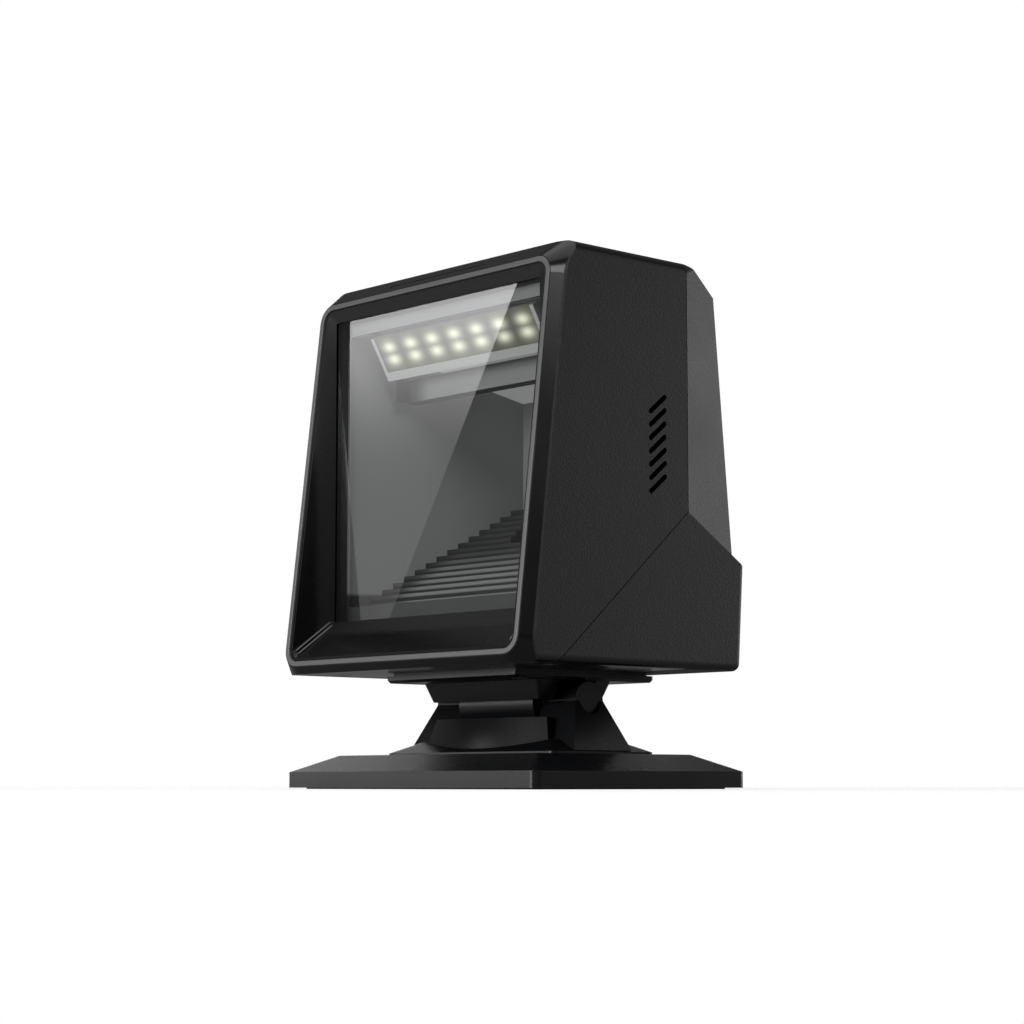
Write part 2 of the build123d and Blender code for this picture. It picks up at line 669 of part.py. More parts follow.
# ---------------------------------------------------------------- camera
HOLDER_REAR_Y = 36.4  # the holder stands on the board here
HOLDER_T = 3.7
BARREL_REAR_Y = 34.6
LENS_REAR_Y = 28.7  # seat of the front lens
LENS_R = 3.0
IRIS_R = 2.0
SENSOR_W = 8.0
IMAGER_BOARD_Y = 37.6
IMAGER_BOARD_W = 26.0
IMAGER_BOARD_H = 20.0
with BuildPart() as lens_holder:
    with BuildSketch(upright_plane(HOLDER_REAR_Y, EYE_Z)):
        RectangleRounded(13, 13, 1)
    extrude(amount=HOLDER_T)
    with BuildSketch(upright_plane(HOLDER_REAR_Y, EYE_Z)):
        Rectangle(SENSOR_W + 0.4, SENSOR_W + 0.4)
    extrude(amount=1.4, mode=Mode.SUBTRACT)
    with BuildSketch(upright_plane(HOLDER_REAR_Y, EYE_Z)):
        Circle(BARREL_LENS_R + 0.05)
    extrude(amount=5, mode=Mode.SUBTRACT)
save(lens_holder, "lens_holder")

with BuildPart() as lens_barrel:
    with BuildSketch(upright_plane(BARREL_REAR_Y, EYE_Z)):
        Circle(BARREL_LENS_R)
    extrude(amount=7.4)
    with BuildSketch(upright_plane(35, EYE_Z)):
        Circle(IRIS_R)
    extrude(amount=9, mode=Mode.SUBTRACT)
    with BuildSketch(upright_plane(LENS_REAR_Y, EYE_Z)):
        Circle(LENS_R)
    extrude(amount=2, mode=Mode.SUBTRACT)
save(lens_barrel, "lens_barrel")

with BuildPart() as imager_lens:
    with BuildSketch(upright_plane(LENS_REAR_Y - 0.05, EYE_Z)):
        Circle(LENS_R - 0.05)
    extrude(amount=1.0)
    fillet(imager_lens.faces().sort_by(Axis.Y)[0].edges(), 0.5)
save(imager_lens, "imager_lens")

with BuildPart() as imager_sensor:
    with BuildSketch(upright_plane(HOLDER_REAR_Y + CLEAR, EYE_Z)):
        Rectangle(SENSOR_W, SENSOR_W)
    extrude(amount=1.1)
save(imager_sensor, "imager_sensor")

with BuildPart() as imager_board:
    with BuildSketch(upright_plane(IMAGER_BOARD_Y, EYE_Z)):
        RectangleRounded(IMAGER_BOARD_W, IMAGER_BOARD_H, 1)
    extrude(amount=1.0)
save(imager_board, "imager_board")

FLEX_X = 8.0
FLEX_W = 7.0
FLEX_T = 0.15  # half of the ribbon's thickness
FLEX_TOP_Z = 106.0
FLEX_BEND_Z = 56.0
FLEX_Y = IMAGER_BOARD_Y + 0.25
FLEX_FOOT_Y = 31.5
with BuildPart() as imager_flex:
    with BuildSketch(Plane.YZ.offset(FLEX_X - FLEX_W / 2)):
        with BuildLine():
            FilletPolyline(
                (FLEX_Y, FLEX_TOP_Z),
                (FLEX_Y, FLEX_BEND_Z),
                (FLEX_FOOT_Y, FLEX_BEND_Z - 7),
                (FLEX_FOOT_Y, BOARD_Z + BOARD_T + FLEX_T),
                radius=2,
            )
            offset(amount=FLEX_T)
        make_face()
    extrude(amount=FLEX_W)
save(imager_flex, "imager_flex")

# ---------------------------------------------------------------- electronics
BOARD_TOP = BOARD_Z + BOARD_T
MAIN_BOARD_W = 86.0
MAIN_BOARD_D = 58.0
MAIN_BOARD_Y = 5.0
SHIELD_W = 28.0
SHIELD_D = 24.0
SHIELD_H = 2.6
SHIELD_WALL = 0.3
with BuildPart() as main_board:
    with BuildSketch(Plane.XY.offset(BOARD_Z)):
        with Locations((0, MAIN_BOARD_Y)):
            RectangleRounded(MAIN_BOARD_W, MAIN_BOARD_D, 2)
        with Locations(*BOARD_SCREWS):
            Circle(SMALL_SCREW_R + SCREW_PASS, mode=Mode.SUBTRACT)
    extrude(amount=BOARD_T)
save(main_board, "main_board")

with BuildPart() as board_screws:
    with BuildSketch(Plane.XY.offset(HEAD_BOTTOM + 2)):
        with Locations(*BOARD_SCREWS):
            Circle(SMALL_SCREW_R)
    extrude(amount=BOARD_TOP - HEAD_BOTTOM - 2 + 0.05)
    with BuildSketch(Plane.XY.offset(BOARD_TOP + 0.05)):
        with Locations(*BOARD_SCREWS):
            Circle(SMALL_HEAD_R)
    extrude(amount=SMALL_HEAD_T)
save(board_screws, "board_screws")

with BuildPart() as processor_shield:
    with BuildSketch(Plane.XY.offset(BOARD_TOP)):
        with Locations((8, -6)):
            RectangleRounded(SHIELD_W, SHIELD_D, 1)
    extrude(amount=SHIELD_H)
    offset(amount=-SHIELD_WALL, openings=processor_shield.faces().sort_by(Axis.Z)[0])
save(processor_shield, "processor_shield")

JACK_DEPTH = 18.0
JACK_BORE = 13.0
PLUG_W = 11.8
PLUG_H = 7.2
LATCH_W = 6.2
LATCH_H = 2.6
CONTACT_COUNT = 8
CONTACT_PITCH = 1.02
CONTACT_W = 0.45
JACK_REAR_Y = 44.4
with BuildPart() as interface_socket:
    with BuildSketch(upright_plane(JACK_REAR_Y, JACK_Z)):
        with Locations((JACK_X, 0)):
            Rectangle(JACK_W, JACK_H)
    extrude(amount=JACK_DEPTH)
    with BuildSketch(upright_plane(JACK_REAR_Y, JACK_Z)):
        with Locations((JACK_X, 0.8)):
            Rectangle(PLUG_W, PLUG_H)
        with Locations((JACK_X, -4.0)):
            Rectangle(LATCH_W, LATCH_H)
    extrude(amount=JACK_BORE, mode=Mode.SUBTRACT)
save(interface_socket, "interface_socket")

with BuildPart() as socket_contacts:
    for n in range(CONTACT_COUNT):
        with BuildSketch(upright_plane(JACK_REAR_Y - 4, JACK_Z)):
            with Locations((JACK_X + (n - (CONTACT_COUNT - 1) / 2) * CONTACT_PITCH, PLUG_H / 2)):
                Rectangle(CONTACT_W, 1.0)
        extrude(amount=8.9)
save(socket_contacts, "socket_contacts")

SPEAKER_T = 5.2
SPEAKER_RING = 1.5  # width of the sounder's raised rim
SPEAKER_DOME_R = 4.0
BRACKET_T = 1.35
with BuildPart() as speaker:
    with BuildSketch(Plane.YZ.offset(SPEAKER_BACK_X + 0.1)):
        with Locations((SPEAKER_Y, SPEAKER_Z)):
            Circle(SPEAKER_R)
    extrude(amount=SPEAKER_T)
    with BuildSketch(Plane.YZ.offset(SPEAKER_BACK_X + 4.3)):
        with Locations((SPEAKER_Y, SPEAKER_Z)):
            Circle(SPEAKER_R - SPEAKER_RING)
            Circle(SPEAKER_DOME_R, mode=Mode.SUBTRACT)
    extrude(amount=2, mode=Mode.SUBTRACT)
save(speaker, "speaker")

with BuildPart() as speaker_bracket:
    with BuildSketch(Plane.YZ.offset(SPEAKER_BACK_X - 1.4)):
        with Locations((SPEAKER_Y, SPEAKER_Z)):
            SlotOverall(2 * SPEAKER_ARM + 10, 10, rotation=90)
            Circle(10)
            Circle(6, mode=Mode.SUBTRACT)
        with Locations(*SPEAKER_SCREWS):
            Circle(SMALL_SCREW_R + SCREW_PASS, mode=Mode.SUBTRACT)
    extrude(amount=BRACKET_T)
save(speaker_bracket, "speaker_bracket")

with BuildPart() as speaker_screws:
    with BuildSketch(Plane.YZ.offset(SPEAKER_BACK_X - 1.45)):
        with Locations(*SPEAKER_SCREWS):
            Circle(SMALL_SCREW_R)
    extrude(amount=6.5)
    with BuildSketch(Plane.YZ.offset(SPEAKER_BACK_X - 1.45)):
        with Locations(*SPEAKER_SCREWS):
            Circle(SMALL_HEAD_R)
    extrude(amount=-SMALL_HEAD_T)
save(speaker_screws, "speaker_screws")

with BuildPart() as status_light_pipe:
    with BuildSketch(bevel_plane(-0.1)):
        with Locations((0, STATUS_DROP)):
            SlotOverall(STATUS_W - 0.2, STATUS_H - 0.2)
    extrude(amount=-4.6)
save(status_light_pipe, "status_light_pipe")

with BuildPart() as status_led_board:
    with BuildSketch(bevel_plane(-5.0)):
        Rectangle(50, 4)
    extrude(amount=-1.0)
save(status_led_board, "status_led_board")

# ---------------------------------------------------------------- neck
MOUNT_Z = HEAD_BOTTOM - MOUNT_T
MOUNT_MID_Y = (MOUNT_FRONT + MOUNT_REAR) / 2
MOUNT_D = MOUNT_REAR - MOUNT_FRONT
BRACKET_SCREWS = [(x, HINGE_Y + y) for x in (-13.0, 13.0) for y in (-7.0, 7.0)]
with BuildPart() as mount_plate:
    with BuildSketch(Plane.XY.offset(MOUNT_Z)):
        with Locations((0, MOUNT_MID_Y)):
            RectangleRounded(MOUNT_W, MOUNT_D, 1.5)
    extrude(amount=MOUNT_T - 0.9)
    chamfer(mount_plate.faces().sort_by(Axis.Z)[0].edges(), length=0.9)
    with BuildSketch(Plane.XY.offset(HEAD_BOTTOM - 0.9)):
        with Locations((0, MOUNT_MID_Y)):
            RectangleRounded(MOUNT_W - 3, MOUNT_D - 3, 1)
    extrude(amount=0.9)
    drill_up(MOUNT_SCREWS, MOUNT_Z - 1, MOUNT_T + 2, SCREW_R + SCREW_PASS)
    drill_up(MOUNT_SCREWS, MOUNT_Z - 1, 2.6, SCREW_SINK_R)
    drill_up(BRACKET_SCREWS, MOUNT_Z - 1, MOUNT_T + 2, SCREW_R + SCREW_PASS)
    drill_up(BRACKET_SCREWS, HEAD_BOTTOM - 1.8, 3, SCREW_SINK_R)
save(mount_plate, "mount_plate")

with BuildPart() as mount_screws:
    with BuildSketch(Plane.XY.offset(MOUNT_Z + 0.1)):
        with Locations(*MOUNT_SCREWS):
            Circle(SCREW_HEAD_R)
            RegularPolygon(HEX_R, 6, mode=Mode.SUBTRACT)
    extrude(amount=1.4)
    with BuildSketch(Plane.XY.offset(MOUNT_Z + 1.2)):
        with Locations(*MOUNT_SCREWS):
            Circle(SCREW_R)
    extrude(amount=7)
save(mount_screws, "mount_screws")

BLOCK_HALF = 27.8
BLOCK_FRONT = -14.1
BLOCK_REAR = 17.9
WAIST_Z = 28.0
WAIST_IN = 2.25
ARM_POCKET = 8.0  # half depth of the room left for an arm
with BuildPart() as tilt_bracket:
    mid_y = (BLOCK_FRONT + BLOCK_REAR) / 2
    deep = BLOCK_REAR - BLOCK_FRONT
    with BuildSketch(Plane.XY.offset(WAIST_Z)):
        with Locations((0, mid_y)):
            RectangleRounded(2 * (BLOCK_HALF - WAIST_IN), deep - 2 * WAIST_IN, 0.8)
    with BuildSketch(Plane.XY.offset(MOUNT_Z)):
        with Locations((0, mid_y)):
            RectangleRounded(2 * BLOCK_HALF, deep, 1.5)
    loft(ruled=True)
    with BuildSketch(Plane.YZ.offset(-BARREL_HALF)):
        with Locations((HINGE_Y, HINGE_Z)):
            Circle(BARREL_R)
    extrude(amount=2 * BARREL_HALF)
    split(bisect_by=Plane.XY.offset(MOUNT_Z), keep=Keep.BOTTOM)
    with BuildSketch(Plane.XY):
        for side in (-1, 1):
            with Locations((side * (BARREL_HALF + 20), HINGE_Y)):
                Rectangle(40, 2 * ARM_POCKET)
    extrude(amount=MOUNT_Z, mode=Mode.SUBTRACT)
    with BuildSketch(Plane.YZ.offset(-BARREL_HALF - 1)):
        with Locations((HINGE_Y, HINGE_Z)):
            Circle(BUSH_R + 0.02)
    extrude(amount=2 * BARREL_HALF + 2, mode=Mode.SUBTRACT)
    with BuildSketch(Plane.XY.offset(MOUNT_Z + 1)):
        with Locations(*BRACKET_SCREWS):
            Circle(SCREW_R + SCREW_FIT)
    extrude(amount=-7, mode=Mode.SUBTRACT)
save(tilt_bracket, "tilt_bracket")

with BuildPart() as bracket_screws:
    with BuildSketch(Plane.XY.offset(HEAD_BOTTOM - 1.7)):
        with Locations(*BRACKET_SCREWS):
            Circle(SCREW_HEAD_R)
            RegularPolygon(HEX_R, 6, mode=Mode.SUBTRACT)
    extrude(amount=1.6)
    with BuildSketch(Plane.XY.offset(HEAD_BOTTOM - 1.6)):
        with Locations(*BRACKET_SCREWS):
            Circle(SCREW_R)
    extrude(amount=-6)
save(bracket_screws, "bracket_screws")

# ---------------------------------------------------------------- tilt hinge
BUSH_LENGTH = 9.0
HEAD_LENGTH = 2.5  # thickness of the bolt's head and of its nut
BOLT_HEAD_R = 4.0
CAP_R = 4.15
SEAT_X = ARM_OUT - 3.5  # where the bolt's head and the nut seat in the arms
with BuildPart() as hinge_bushes:
    for start in (-BARREL_HALF, BARREL_HALF - BUSH_LENGTH):
        with BuildSketch(Plane.YZ.offset(start)):
            with Locations((HINGE_Y, HINGE_Z)):
                Circle(BUSH_R)
                Circle(PIN_R + RUNNING_GAP, mode=Mode.SUBTRACT)
        extrude(amount=BUSH_LENGTH)
save(hinge_bushes, "hinge_bushes")

with BuildPart() as hinge_pin:
    with BuildSketch(Plane.YZ.offset(-SEAT_X - HEAD_LENGTH + 0.3)):
        with Locations((HINGE_Y, HINGE_Z)):
            Circle(PIN_R)
    extrude(amount=2 * SEAT_X + HEAD_LENGTH)
    with BuildSketch(Plane.YZ.offset(SEAT_X + 0.05)):
        with Locations((HINGE_Y, HINGE_Z)):
            Circle(BOLT_HEAD_R)
    extrude(amount=HEAD_LENGTH - 0.1)
    with BuildSketch(Plane.YZ.offset(SEAT_X + 1)):
        with Locations((HINGE_Y, HINGE_Z)):
            RegularPolygon(1.8, 6)
    extrude(amount=3, mode=Mode.SUBTRACT)
save(hinge_pin, "hinge_pin")

with BuildPart() as hinge_nut:
    with BuildSketch(Plane.YZ.offset(-SEAT_X - 0.05)):
        with Locations((HINGE_Y, HINGE_Z)):
            RegularPolygon(BOLT_HEAD_R, 6)
            Circle(PIN_R + 0.03, mode=Mode.SUBTRACT)
    extrude(amount=-HEAD_LENGTH + 0.1)
save(hinge_nut, "hinge_nut")

with BuildPart() as hinge_caps:
    for start in (-ARM_OUT, SEAT_X + HEAD_LENGTH + 0.1):
        with BuildSketch(Plane.YZ.offset(start)):
            with Locations((HINGE_Y, HINGE_Z)):
                Circle(CAP_R)
        extrude(amount=ARM_OUT - SEAT_X - HEAD_LENGTH - 0.1)
save(hinge_caps, "hinge_caps")

WASHER_R = 5.6
with BuildPart() as friction_washers:
    for start in (-ARM_IN + 0.05, BARREL_HALF + RUNNING_GAP):
        with BuildSketch(Plane.YZ.offset(start)):
            with Locations((HINGE_Y, HINGE_Z)):
                Circle(WASHER_R)
                Circle(PIN_R + RUNNING_GAP, mode=Mode.SUBTRACT)
        extrude(amount=ARM_IN - BARREL_HALF - 0.05 - RUNNING_GAP)
save(friction_washers, "friction_washers")

# ---------------------------------------------------------------- pedestal
PLINTH_HALF = 40.0
PLINTH_FRONT = -19.3
PLINTH_REAR = 24.7
PLINTH_TOP = 15.4
PLINTH_EDGE = 0.8
PLINTH_RUN = 8.6
SADDLE_HALF = 30.0
SADDLE_DEEP = 14.5  # from the hinge axis to the saddle's face, at its ends
SADDLE_BOW = 5.5  # how far the face bows out in the middle
SADDLE_TAPER = 17.0
SADDLE_TOP = 22.4
SADDLE_R = BARREL_R + 1.2
ARM_FOOT_Z = 12.0
ARM_FOOT_OUT = 39.5
ARM_FOOT_FRONT = -10.0
ARM_FOOT_REAR = 15.0
PEDESTAL_SCREWS = [(x, y) for x in (-26.0, 26.0) for y in (-6.0, 11.4)]
with BuildPart() as pedestal:
    plinth_y = (PLINTH_FRONT + PLINTH_REAR) / 2
    plinth_d = PLINTH_REAR - PLINTH_FRONT
    with BuildSketch(Plane.XY.offset(PLATE_TOP)):
        with Locations((0, plinth_y)):
            RectangleRounded(2 * PLINTH_HALF, plinth_d, 2)
    extrude(amount=PLINTH_EDGE)
    with BuildSketch(Plane.XY.offset(PLATE_TOP + PLINTH_EDGE)):
        with Locations((0, plinth_y)):
            RectangleRounded(2 * PLINTH_HALF, plinth_d, 2)
    with BuildSketch(Plane.XY.offset(PLINTH_TOP)):
        with Locations((0, plinth_y)):
            RectangleRounded(2 * (PLINTH_HALF - PLINTH_RUN), plinth_d - 2 * PLINTH_RUN, 1)
    loft(ruled=True)
    with BuildSketch(Plane.XY.offset(PLATE_TOP)):
        with BuildLine():
            for face in (-1, 1):
                ThreePointArc(
                    (-SADDLE_HALF, HINGE_Y + face * SADDLE_DEEP),
                    (0, HINGE_Y + face * (SADDLE_DEEP + SADDLE_BOW)),
                    (SADDLE_HALF, HINGE_Y + face * SADDLE_DEEP),
                )
            for side in (-1, 1):
                Line(
                    (side * SADDLE_HALF, HINGE_Y - SADDLE_DEEP),
                    (side * SADDLE_HALF, HINGE_Y + SADDLE_DEEP),
                )
        make_face()
    extrude(amount=SADDLE_TOP - PLATE_TOP, taper=SADDLE_TAPER)
    with BuildSketch(Plane.YZ.offset(-SADDLE_HALF - 10)):
        with Locations((HINGE_Y, HINGE_Z)):
            Circle(SADDLE_R)
    extrude(amount=2 * SADDLE_HALF + 20, mode=Mode.SUBTRACT)
    for side in (-1, 1):
        foot_mid = (ARM_IN + ARM_FOOT_OUT) / 2
        top_mid = (ARM_IN + ARM_OUT) / 2
        with BuildSketch(Plane.XY.offset(ARM_FOOT_Z)):
            with Locations((side * foot_mid, (ARM_FOOT_FRONT + ARM_FOOT_REAR) / 2)):
                Rectangle(ARM_FOOT_OUT - ARM_IN, ARM_FOOT_REAR - ARM_FOOT_FRONT)
        with BuildSketch(Plane.XY.offset(HINGE_Z)):
            with Locations((side * top_mid, HINGE_Y)):
                Rectangle(ARM_OUT - ARM_IN, 2 * ARM_R)
        loft(ruled=True)
        with BuildSketch(Plane.YZ.offset(side * ARM_IN)):
            with Locations((HINGE_Y, HINGE_Z)):
                Circle(ARM_R)
        extrude(amount=side * (ARM_OUT - ARM_IN))
    with BuildSketch(Plane.YZ.offset(-ARM_FOOT_OUT)):
        with Locations((HINGE_Y, HINGE_Z)):
            Circle(PIN_R + RUNNING_GAP)
    extrude(amount=2 * ARM_FOOT_OUT, mode=Mode.SUBTRACT)
    for side in (-1, 1):
        with BuildSketch(Plane.YZ.offset(side * SEAT_X)):
            with Locations((HINGE_Y, HINGE_Z)):
                Circle(CAP_R + 0.05)
        extrude(amount=side * 12, mode=Mode.SUBTRACT)
    drill_up(PEDESTAL_SCREWS, PLATE_TOP - 1, 6, SCREW_R + SCREW_FIT)
save(pedestal, "pedestal")

# ---------------------------------------------------------------- stand plate
PAD_W = 112.0
PAD_D = 82.0
PAD_T = 1.6
WEIGHT_W = 92.0
WEIGHT_D = 62.0
WEIGHT_TOP = 6.8
WEIGHT_CORNER = 3.0
PLATE_CORNER = 2.5
PAD_CORNER = 2.0
WEIGHT_SCREWS = [(x, y) for x in (-40.0, 40.0) for y in (-25.0, 25.0)]
with BuildPart() as base_plate:
    with BuildSketch(Plane.XY.offset(PAD_PROUD)):
        RectangleRounded(PLATE_W, PLATE_D, PLATE_CORNER)
    extrude(amount=PLATE_EDGE - PAD_PROUD)
    with BuildSketch(Plane.XY.offset(PLATE_EDGE)):
        RectangleRounded(PLATE_W, PLATE_D, PLATE_CORNER)
    with BuildSketch(Plane.XY.offset(PLATE_TOP)):
        RectangleRounded(PLATE_W - 2 * PLATE_SLOPE_RUN, PLATE_D - 2 * PLATE_SLOPE_RUN, 1)
    loft(ruled=True)
    with BuildSketch(Plane.XY):
        RectangleRounded(PAD_W + 4 * CLEAR, PAD_D + 4 * CLEAR, PAD_CORNER + 2 * CLEAR)
    extrude(amount=PAD_T, mode=Mode.SUBTRACT)
    with BuildSketch(Plane.XY.offset(PAD_T)):
        RectangleRounded(WEIGHT_W + 4 * CLEAR, WEIGHT_D + 4 * CLEAR, WEIGHT_CORNER + 2 * CLEAR)
    extrude(amount=WEIGHT_TOP - PAD_T, mode=Mode.SUBTRACT)
    drill_up(PEDESTAL_SCREWS, WEIGHT_TOP - 1, 8, SCREW_R + SCREW_PASS)
    drill_up(WEIGHT_SCREWS, WEIGHT_TOP - 1, 3.6, SCREW_R + SCREW_FIT)
save(base_plate, "base_plate")

with BuildPart() as base_weight:
    with BuildSketch(Plane.XY.offset(PAD_T + CLEAR)):
        RectangleRounded(WEIGHT_W, WEIGHT_D, WEIGHT_CORNER)
    extrude(amount=WEIGHT_TOP - PAD_T - 2 * CLEAR)
    drill_up(PEDESTAL_SCREWS, 0, 10, COLUMN_R)
    drill_up(WEIGHT_SCREWS, 0, 10, SCREW_R + SCREW_PASS)
    drill_up(WEIGHT_SCREWS, 0, PAD_T + 2.2, SCREW_SINK_R)
save(base_weight, "base_weight")

with BuildPart() as weight_screws:
    with BuildSketch(Plane.XY.offset(PAD_T + 0.2)):
        with Locations(*WEIGHT_SCREWS):
            Circle(SCREW_HEAD_R)
            RegularPolygon(HEX_R, 6, mode=Mode.SUBTRACT)
    extrude(amount=1.9)
    with BuildSketch(Plane.XY.offset(PAD_T + 1.8)):
        with Locations(*WEIGHT_SCREWS):
            Circle(SCREW_R)
    extrude(amount=5.5)
save(weight_screws, "weight_screws")

with BuildPart() as pedestal_screws:
    with BuildSketch(Plane.XY.offset(WEIGHT_TOP - 2.1)):
        with Locations(*PEDESTAL_SCREWS):
            Circle(SCREW_HEAD_R)
            RegularPolygon(HEX_R, 6, mode=Mode.SUBTRACT)
    extrude(amount=2.0)
    with BuildSketch(Plane.XY.offset(WEIGHT_TOP - 0.6)):
        with Locations(*PEDESTAL_SCREWS):
            Circle(SCREW_R)
    extrude(amount=8)
save(pedestal_screws, "pedestal_screws")

with BuildPart() as non_slip_pad:
    with BuildSketch(Plane.XY):
        RectangleRounded(PAD_W, PAD_D, PAD_CORNER)
    extrude(amount=PAD_T - 0.05)
save(non_slip_pad, "non_slip_pad")
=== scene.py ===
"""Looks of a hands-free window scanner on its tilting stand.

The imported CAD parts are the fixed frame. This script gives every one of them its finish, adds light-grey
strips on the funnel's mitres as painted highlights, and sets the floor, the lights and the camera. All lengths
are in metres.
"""

import json
import logging
import math
from collections.abc import Sequence
from dataclasses import dataclass, field
from enum import Enum
from typing import Protocol

import bpy
import numpy as np
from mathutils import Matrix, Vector

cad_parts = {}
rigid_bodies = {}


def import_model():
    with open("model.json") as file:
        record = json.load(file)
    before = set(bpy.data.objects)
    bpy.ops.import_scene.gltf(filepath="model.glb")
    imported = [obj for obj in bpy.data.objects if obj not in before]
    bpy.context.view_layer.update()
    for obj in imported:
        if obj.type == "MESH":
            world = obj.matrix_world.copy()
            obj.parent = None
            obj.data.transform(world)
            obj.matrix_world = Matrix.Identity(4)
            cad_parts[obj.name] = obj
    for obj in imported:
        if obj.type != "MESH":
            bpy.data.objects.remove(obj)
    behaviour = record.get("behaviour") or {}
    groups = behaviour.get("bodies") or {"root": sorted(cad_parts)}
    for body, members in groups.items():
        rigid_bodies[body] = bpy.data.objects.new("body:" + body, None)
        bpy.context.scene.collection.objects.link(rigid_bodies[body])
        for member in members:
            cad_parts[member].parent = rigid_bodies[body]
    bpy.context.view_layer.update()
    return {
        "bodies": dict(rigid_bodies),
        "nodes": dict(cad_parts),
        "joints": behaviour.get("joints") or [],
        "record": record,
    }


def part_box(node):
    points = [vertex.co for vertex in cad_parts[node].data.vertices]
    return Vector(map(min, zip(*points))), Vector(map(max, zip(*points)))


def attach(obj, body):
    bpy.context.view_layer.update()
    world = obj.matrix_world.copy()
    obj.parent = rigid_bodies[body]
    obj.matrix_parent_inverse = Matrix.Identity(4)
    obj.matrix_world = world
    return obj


Colour = tuple[float, float, float]
Point = tuple[float, float, float]
Span = tuple[float, float]
Number = "Value | float"
log = logging.getLogger("scanner")


class Value:
    """A number that varies over a surface: a shader socket on which Python's arithmetic works."""

    def __init__(self, paint: "Paint", socket: bpy.types.NodeSocket) -> None:
        """Wraps one output socket of a material being painted."""
        self.paint = paint
        self.socket = socket

    def __add__(self, other: Number) -> "Value":
        """This number plus another."""
        return self.paint.maths("ADD", self, other)

    def __radd__(self, other: Number) -> "Value":
        """A plain number plus this one."""
        return self.paint.maths("ADD", other, self)

    def __sub__(self, other: Number) -> "Value":
        """This number less another."""
        return self.paint.maths("SUBTRACT", self, other)

    def __rsub__(self, other: Number) -> "Value":
        """A plain number less this one, such as 1 - mask."""
        return self.paint.maths("SUBTRACT", other, self)

    def __mul__(self, other: Number) -> "Value":
        """This number times another."""
        return self.paint.maths("MULTIPLY", self, other)

    def __rmul__(self, other: Number) -> "Value":
        """A plain number times this one."""
        return self.paint.maths("MULTIPLY", other, self)

    def __truediv__(self, other: Number) -> "Value":
        """This number over another."""
        return self.paint.maths("DIVIDE", self, other)

    def __pow__(self, other: Number) -> "Value":
        """This number to a power."""
        return self.paint.maths("POWER", self, other)

    def __abs__(self) -> "Value":
        """How far this number is from nought."""
        return self.paint.maths("ABSOLUTE", self)


